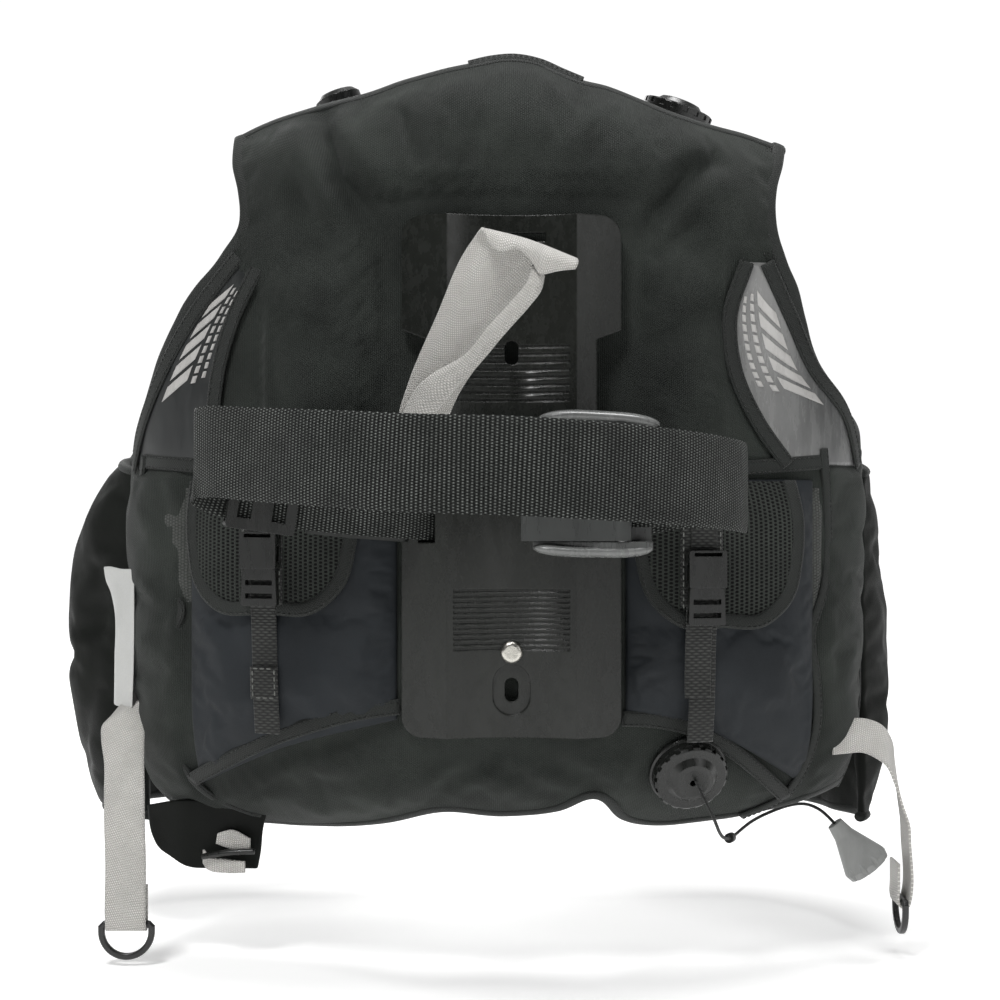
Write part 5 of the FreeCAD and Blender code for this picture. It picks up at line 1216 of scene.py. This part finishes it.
def lobe_grid(side, first, last, low, high, columns, rows):
    """Middle points, outward directions, and flat coordinates of a part of a lobe."""
    plan = np.array(LOBE_PLAN[side], float)
    line = smooth(np.concatenate([plan, 0 * plan[:, :1]], 1), 401)
    ways = tangents(line)
    sign = 1 if side == "left" else -1
    share = np.linspace(first, last, columns)
    far = lengths(line)
    place = np.stack([np.interp(share * far[-1], far, line[:, k]) for k in range(3)], 1)
    ahead = unit(np.stack([np.interp(share * far[-1], far, ways[:, k]) for k in range(3)], 1))
    out = np.cross(ahead, [0, 0, 1.0]) * -sign
    v = np.linspace(0, 1, rows)
    top = lobe_top(share) if high is None else np.full(columns, float(high))
    z = low + (top[:, None] - low) * v[None]
    points = np.repeat(place[:, None], rows, 1)
    points[..., 2] = z
    outs = np.repeat(out[:, None], rows, 1)
    points = points + outs * lobe_lean(side, share[:, None], z)[..., None]
    flat = np.stack([np.repeat((share * far[-1])[:, None], rows, 1), z], -1)
    u = np.repeat(np.linspace(0, 1, columns)[:, None], rows, 1)
    return points, outs, flat, u, np.repeat(v[None], columns, 0)


LOBE_FOLDS = {
    "left": [([(30, -60), (36, -110), (52, -160)], 9, 5), ([(18, 10), (30, -30), (34, -70)], 8, 4),
             ([(70, 30), (60, -20), (66, -90)], 10, 4), ([(100, -120), (140, -150), (190, -160)], 10, 3)],
    "right": [([(24, -20), (34, -70), (40, -120)], 8, 5), ([(52, 20), (46, -40), (54, -120)], 9, 4),
              ([(90, -100), (130, -140), (170, -150)], 10, 3)],
}


def make_lobes():
    """The sides of the jacket, which wrap forward round the wearer."""
    for side in ("left", "right"):
        points, outs, flat, u, v = lobe_grid(side, 0, 1, LOBE_BOTTOM, None, 84, 62)
        half = 12 * pillow(u, v, 0.22, 0.2)
        fold = np.zeros_like(half)
        for path, width, amount in LOBE_FOLDS[side]:
            fold = fold + amount * crease(flat[..., 0], flat[..., 1], path, width)
        outer = half - fold * pillow(u, v, 0, 0.08) + 1.0 * crumple(flat[..., 0], flat[..., 1], 50, 21)
        inner = half + 1.0 * crumple(flat[..., 0], flat[..., 1], 50, 33)
        front, rear = points + outs * outer[..., None], points - outs * inner[..., None]
        lobe = slab(f"side_lobe_{side}", front, rear, flat, finish="lobe",
                    replaces=(f"lobe_{side}",))
        rim = (u < 0.01) | (u > 0.99) | (v < 0.01) | (v > 0.99)
        simulate(lobe, np.stack([rim, rim]).ravel(), 4.0, 16, 5.0, 0.02, 0.4)
        refine(lobe)
        make_lobe_trim(side, points, outs)
        make_lobe_pocket(side)


def make_lobe_trim(side, points, outs):
    """Binding round a lobe's free edges, and the seam up its front."""
    around = [(points[::2, -1], outs[::2, -1]), (points[::2, 0], outs[::2, 0]),
              (points[-1, ::2], outs[-1, ::2])]
    for index, (line, out) in enumerate(around):
        sweep(f"lobe_binding_{side}_{index}", line, out, oval_profile(3.4, 3.9, 12), finish="binding",
              slot="lobe_nylon")


def make_lobe_pocket(side):
    """A cargo pocket on a side lobe."""
    points, outs, flat, u, v = lobe_grid(side, 0.56, 0.86, -158, 6, 44, 52)
    wrinkles = 0.7 * crumple(flat[..., 0], flat[..., 1], 36, 8) * pillow(u, v, 0, 0.1)
    bulge = 14.6 + 11 * pillow(u, v, 0.05, 0.18) + wrinkles
    pocket = slab(f"lobe_cargo_pocket_{side}", points + outs * bulge[..., None], points + outs * 11.0, flat,
                  finish="pocket", replaces=(f"lobe_pocket_{side}",))
    simulate(pocket, held_edges(u, v, 0.04).ravel(), 3.0, 14, 3.0, 0.03, 0.3)
    refine(pocket)
    line = points[:, -1] + outs[:, -1] * 14.0
    sweep(f"lobe_pocket_top_{side}", line, outs[:, -1], flat_profile(9, 2.4, 7, 4), finish="binding",
          slot="pocket_nylon")
    make_zip(side)


def make_zip(side):
    """A coil zip up the lobe beside its pocket: two tapes and their teeth."""
    points, outs, _, _, _ = lobe_grid(side, 0.895, 0.92, -158, 6, 2, 60)
    line, out = points[0], outs[0]
    base = line + out * 13.0
    sweep(f"zip_tape_{side}", base, out, flat_profile(22, 1.0, 9, 6), finish="strap")
    ahead = np.array([0, 0, 1.0])
    across = unit(np.cross(ahead, out[0]))
    heights = np.arange(-150, -34, 1.9)
    shape = np.array([(x, y, z) for x in (-1.7, 1.7) for y in (0, 0.9) for z in (-0.6, 0.6)])
    quads = [[0, 1, 3, 2], [4, 6, 7, 5], [0, 4, 5, 1], [2, 3, 7, 6], [0, 2, 6, 4], [1, 5, 7, 3]]
    tooth_points, faces = [], []
    for index, z in enumerate(heights):
        shift = 0.7 if index % 2 else -0.7
        here = base[0] * [1, 1, 0] + np.array([0, 0, z])
        start = len(tooth_points) * 8
        tooth_points.append(here + across * (shape[:, :1] + shift) + out[0] * (shape[:, 1:2] + 0.35)
                            + ahead * shape[:, 2:])
        faces.extend([[q + start for q in quad] for quad in quads])
    mesh_object(f"zip_teeth_{side}", np.concatenate(tooth_points), faces, None, "trim", outward=True)


# ---------------------------------------------------------------- straps on the front

STRAP_PROFILE = [(77, 239), (90, 241), (112, 241), (148, 231), (184, 208), (211, 174), (226, 150), (231, 132)]


def make_shoulder_straps():
    """The padded shoulder straps, with their bindings, webbing and runners."""
    for side, sign in (("left", -1), ("right", 1)):
        route = [(sign * (115 + 17 * i / 7), y, z) for i, (y, z) in enumerate(STRAP_PROFILE)]
        line = smooth(route, None, 4)
        width, columns = 56, 17
        far = lengths(line)
        end = np.minimum(far, far[-1] - far)
        full = rise_from(end, 24)
        taper = 0.72 + 0.28 * rise_from(far[-1] - far, 60)
        reach = -np.cos(np.linspace(0, math.pi, columns))
        profile = []
        for k in range(len(line)):
            rise = (4.2 * full[k] + 0.8) * np.maximum(1 - np.abs(reach) ** 3, 0) ** 0.5
            groove = 1 - 0.35 * np.exp(-((np.abs(reach) - 0.62) / 0.06) ** 2)
            rise = np.maximum(rise * groove, 0.6)
            top = np.stack([reach * width / 2 * taper[k], rise], 1)
            profile.append(np.concatenate([top, np.stack([top[::-1, 0], -top[::-1, 1]], 1)]))
        share = np.linspace(0, 1, len(line))[:, None]
        across = unit(np.array([[0.94, 0, -0.34 * sign]]) * (1 - share) + np.array([[1.0, 0, 0]]) * share)
        pad = sweep(f"shoulder_pad_{side}", line, None, np.array(profile), across, finish="shell",
                    replaces=(f"shoulder_strap_{side}",))
        refine(pad)
        outs = unit(np.cross(across, tangents(line)))
        for edge in (-1, 1):
            rim = line + across * (edge * width / 2 * taper[:, None])
            place = "outer" if edge == sign else "inner"
            sweep(f"shoulder_binding_{side}_{place}", rim, outs, oval_profile(2.9, 2.6, 12),
                  finish="binding")
            sewn.append((line + across * (edge * width / 2 * taper[:, None] - edge * 4.2) + outs * 3.9,
                         outs, False))
        x = sign * 132
        web = [(x, 230.5, 146), (x, 233.5, 137), (x, 240.5, 130.5), (x, 244.5, 122), (x, 246.5, 112),
               (x, 251, 102), (x, 262, 94)]
        strap(f"shoulder_webbing_{side}", web, (1, 0, 0), 38, 1.6, finish="strap")
        begin, stop = int(np.argmax(line[:, 1] > 134)), int(len(line) * 0.86)
        runner = line[begin:stop] + outs[begin:stop] * 5.6
        strap(f"shoulder_runner_{side}", runner[::4], (1, 0, 0), 25, 1.4, finish="strap")


def make_front_straps():
    """The webbing of the sternum strap and the waist belt."""
    for side, start, end in (("left", -150, -34), ("right", 10, 150)):
        z, y = 150, 239.2
        middle = (start + end) / 2
        strap(f"sternum_strap_{side}", [(start, y, z), (middle, y, z), (end, y, z)], (0, 0, 1), 25, 1.5,
              finish="strap", replaces=("sternum_straps",) if side == "left" else ())
    for side, start, end in (("left", -118, -48), ("right", 10, 118)):
        middle = (start + end) / 2
        strap(f"waist_webbing_{side}", [(start, 292.2, -60), (middle, 292.2, -60), (end, 292.2, -60)],
              (0, 0, 1), 50, 1.5, finish="strap", replaces=(f"waist_belt_{side}",))


def hanging_route(x, y, z, top, side):
    """Down to a ring's bar, half round it, and a little way back up."""
    turn = 2 + 0.65 + 0.75
    middle = np.array([x, y, z], float)
    side = np.array(side, float)
    up = np.array([0, 0, 1.0])
    route = [np.array(point, float) for point in top]
    route.append(middle + side * turn + up * 40)
    for step in range(7):
        angle = math.pi * step / 6
        route.append(middle + side * (turn * math.cos(angle)) - up * (turn * math.sin(angle)))
    route.append(middle - side * turn + up * 10)
    route.append(middle - side * turn + up * 24)
    return route


def make_hip_straps():
    """Hanging straps, each turned round the bar of its D-ring and a little way back up."""
    x, y, z = -238, 60, -250
    rows = [[(-243, 92, -112), (-218, 98, -96)], [(-252, 82, -124), (-223, 90, -105)],
            [(-256.5, 75, -130.5), (-242, 78, -121), (-227.5, 83, -112)],
            [(-256, 71.5, -137), (-242.5, 74, -129), (-229, 79, -121)],
            [(-253, 66, -152), (-241, 67, -148), (-229, 70, -144)]]
    lower = hanging_route(x, y, z, [(x - 1.5, y + 0.5, -168), (x - 0.8, y - 3, -184)], (0, -1, 0))
    rows += [[tuple(place + np.array([shift, 0, 0])) for shift in (-12.5, 0, 12.5)] for place in lower]
    webbing_sheet("hip_webbing_left", rows, 13, 320, 1.5, finish="grey",
                  replaces=("hip_strap_left",))
    x, y, z = 247, 88, -240
    rows = [[(199, 58, -145), (199, 63, -124)], [(210, 63.5, -144.8), (210, 68, -123.4)],
            [(220, 68, -145), (222, 73, -124.3)], [(228, 70.5, -148.5), (233, 78.5, -129)],
            [(236, 73.5, -154.5), (240.5, 86, -139)], [(241, 75, -165), (244.5, 96, -154)],
            [(246, 75.5, -180), (248, 100.3, -176)]]
    rows = [[first, tuple((np.array(first) + np.array(last)) / 2), last] for first, last in rows]
    lower = hanging_route(x, y, z, [(x + 3.2, y, -194)], (1, 0, 0))
    rows += [[tuple(place + np.array([0, shift, 0])) for shift in (-12.5, 0, 12.5)] for place in lower]
    webbing_sheet("hip_webbing_right", rows, 13, 320, 1.5, finish="grey",
                  replaces=("hip_strap_right",))
    make_waist_corner()


def make_waist_corner():
    """The corner of the waist flap that hangs below the hem on the left, with its webbing and keeper."""
    rows = [[(-232, 98, -182), (-205, 82, -176), (-178, 78, -176), (-150, 74, -176)],
            [(-228, 96, -202), (-205, 84, -196), (-180, 80, -192), (-155, 76, -192)],
            [(-224, 94, -208), (-206, 86, -213), (-182, 82, -214), (-157, 77, -209)],
            [(-221, 93, -209.5), (-205, 86, -219), (-182, 82, -219.5), (-159, 77, -219)]]
    corner = webbing_sheet("waist_corner_left", rows, 31, 27, 3.2, finish="lobe")
    refine(corner)
    upper = [[(-184, 76, -196.5), (-185, 76.5, -203)], [(-175, 74, -194), (-176, 74.5, -206)],
             [(-163, 71, -199), (-163, 71.5, -208)]]
    lower = [[(-193, 77, -207), (-193, 77, -215.5)], [(-190, 74, -210), (-190, 74, -218.5)],
             [(-177, 71.5, -212), (-177, 71.5, -220.5)], [(-166, 70, -213), (-166, 70, -220)]]
    for name, rows in (("waist_corner_tail", upper), ("waist_corner_loop", lower)):
        webbing_sheet(name, rows, 9, 36, 1.4, finish="grey")
    bar = smooth([(-193, 72.5, -210.5), (-176, 69.5, -207.5), (-160, 68.5, -206.5)], 40)
    sweep("waist_corner_keeper", bar, np.repeat([[0, -1.0, 0]], len(bar), 0), oval_profile(1.9, 2.4, 16),
          finish="trim")


def make_labels():
    """The blank care label and the blank seam tags."""
    rows = [[(-263, 112, -30.5), (-257, 103, -30), (-247, 89, -31), (-236, 74, -30.5)],
            [(-261.5, 110, -38), (-256, 101, -38), (-247, 89, -38), (-236, 74, -38)],
            [(-256, 101, -47), (-252, 94, -47), (-245, 86, -47), (-236, 74, -47)],
            [(-253, 98, -58), (-251.5, 93, -58), (-245, 85, -58), (-236, 74, -58)],
            [(-253, 98, -90), (-251.5, 93, -90), (-245, 85, -90), (-236.5, 75, -90)],
            [(-253.5, 99, -117.5), (-252, 94, -118), (-245, 86, -118.5), (-238, 78, -118)]]
    care = webbing_sheet("care_label", rows, 17, 50, 0.6, finish="label",
                         replaces=("labels",))
    refine(care)
    for name, path, width in (("seam_tag_left", [(-223, -84), (-223, -96), (-223, -108)], 7),
                              ("seam_tag_right", [(216, -86), (216, -100), (216, -114)], 8)):
        line, outs = run_on_back(path, -1.4, 2.0)
        sweep(name, line, outs, flat_profile(width, 0.8), finish="label")


def make_inside():
    """The quilted pad against the wearer's back and the soft collar above it."""
    grid, u, v = patch(*box_edges(-105, 105, -110, 150), 64, 76)
    s, z = grid[..., 0], grid[..., 1]
    full = pillow(u, v, 0.15, 0.1)
    channel = np.zeros_like(full)
    for height in (-58, -6, 46, 98):
        channel = np.maximum(channel, np.exp(-((z - height) / 4.5) ** 2))
    channel = np.maximum(channel, np.exp(-(s / 4.5) ** 2))
    depth = 24.5 + 8.5 * full * (1 - 0.65 * channel) + 0.3 * crumple(s, z, 30, 2)
    pad = slab("wearer_pad", back_point(s, z, depth), back_point(s, z, 24.3), grid, finish="mesh",
               replaces=("back_pad",))
    held = np.ones((2, *s.shape), bool)
    held[0] = (channel > 0.8) | (full < 0.3)
    simulate(pad, held.ravel(), 3.0, 12, 3.0, 0.0, 0.5)
    refine(pad)
    left, right = [(-66, 200), (-66, 228), (-66, 253)], [(60, 200), (60, 225), (58, 249)]
    low = [(-66, 200), (0, 195), (60, 200)]
    high = [(-66, 253), (-26, 265), (6, 268), (34, 261), (58, 249)]
    grid, u, v = patch(left, right, low, high, 40, 24)
    s, z = grid[..., 0], grid[..., 1]
    depth = 24.5 + 12.5 * pillow(u, v, 0.1, 0.22)
    collar = slab("collar_cushion", back_point(s, z, depth), back_point(s, z, 24.3), grid, finish="lining",
                  replaces=("collar_pad",))
    refine(collar)


# ---------------------------------------------------------------- the valves' springs

def make_springs():
    """Copies of the valve springs in spring steel, attached to the vest in place of the CAD springs."""
    for prefix, joint, axis in (("dump", "dump_disc_lift", (0.18358, -0.86365, -0.46947)),
                                ("shoulder", "relief_disc_lift", (0.34015, -0.10453, 0.93454))):
        source = nodes[f"{prefix}_valve_spring"]
        coil = bpy.data.objects.new(f"{prefix}_spring_coil", source.data.copy())
        coil.matrix_world = source.matrix_world.copy()
        scene.collection.objects.link(coil)
        coil.data.materials.clear()
        coil.data.materials.append(finishes["steel"])
        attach(coil, "vest")
        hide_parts(source.name)
        bpy.context.view_layer.update()
        axis = unit(np.array(axis))
        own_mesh(coil)


# ---------------------------------------------------------------- the pull cord

CORD_ROUTE = [
    (0.10866, 0.02706, -0.15141), (0.11031, 0.01929, -0.15563), (0.11260, 0.01325, -0.16092),
    (0.120, 0.008, -0.176), (0.125, 0.020, -0.188), (0.131, 0.040, -0.194), (0.138, 0.060, -0.1955),
    (0.145, 0.077, -0.194), (0.154, 0.088, -0.190), (0.166, 0.091, -0.185), (0.178, 0.087, -0.180),
    (0.188, 0.080, -0.1785), (0.19869, 0.074, -0.18448), (0.20793, 0.074, -0.19630),
]


def make_cord():
    """The dump valve's pull cord, from the cap through its guide to the knob."""
    curve = bpy.data.curves.new("pull_cord", "CURVE")
    curve.dimensions = "3D"
    curve.bevel_depth, curve.bevel_resolution = 0.001, 4
    curve.resolution_u = 10
    curve.use_fill_caps = True
    spline = curve.splines.new("NURBS")
    spline.points.add(len(CORD_ROUTE) - 1)
    for point, place in zip(spline.points, CORD_ROUTE):
        point.co = (*place, 1)
    spline.order_u = 3
    spline.use_endpoint_u = True
    cord = bpy.data.objects.new("pull_cord", curve)
    scene.collection.objects.link(cord)
    curve.materials.append(finishes["cord"])
    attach(cord, "vest")
    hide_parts("dump_pull_cord")


# ---------------------------------------------------------------- CAD parts that stay

KEPT = {
    "backplate": "plate", "plate_bolt": "nickel", "band_slider": "trim", "cam_buckle_frame": "frame",
    "cam_buckle_pin": "steel", "cam_buckle_lever": "lever", "rear_buckle_female_left": "trim",
    "rear_buckle_female_right": "trim", "rear_buckle_male_left": "trim", "rear_buckle_male_right": "trim",
    "dump_valve_body": "trim", "dump_valve_cap": "trim", "dump_valve_disc": "trim", "cord_guide": "strap",
    "shoulder_valve_body": "trim", "shoulder_valve_cap": "trim", "shoulder_valve_disc": "trim",
    "inflator_flange": "trim",
    "inflator_elbow": "trim", "shoulder_buckles": "trim", "sternum_buckle_female": "trim",
    "sternum_buckle_male": "trim", "waist_buckle_female": "trim", "waist_buckle_male": "trim",
    "dump_pull_knob": "knob", "hip_dring_left": "ring", "hip_dring_right": "ring", "zip_slider_left": "ring",
    "zip_slider_right": "ring",
}


def dress_frame():
    """Finishes for the CAD nodes that stay visible."""
    for name, finish in KEPT.items():
        piece = nodes[name]
        if not piece.material_slots:
            piece.data.materials.append(finishes[finish])
        for place in piece.material_slots:
            place.link = "OBJECT"
            place.material = finishes[finish]


finishes = {}
sewn = []
make_camera()
finishes.update(make_finishes())
make_cord()
make_springs()
make_stage()
make_shell()
make_edges()
make_patches()
make_pockets()
make_rear_straps()
make_band()
make_cam_rails()
make_valve_strap()
make_lobes()
make_shoulder_straps()
make_front_straps()
make_hip_straps()
make_labels()
make_inside()
stitches("seam_stitches", [(line, outs) for line, outs, pale in sewn if not pale], "thread")
stitches("pale_stitches", [(line, outs) for line, outs, pale in sewn if pale], "pale_thread", 4.2, 2.8, 0.42)
dress_frame()
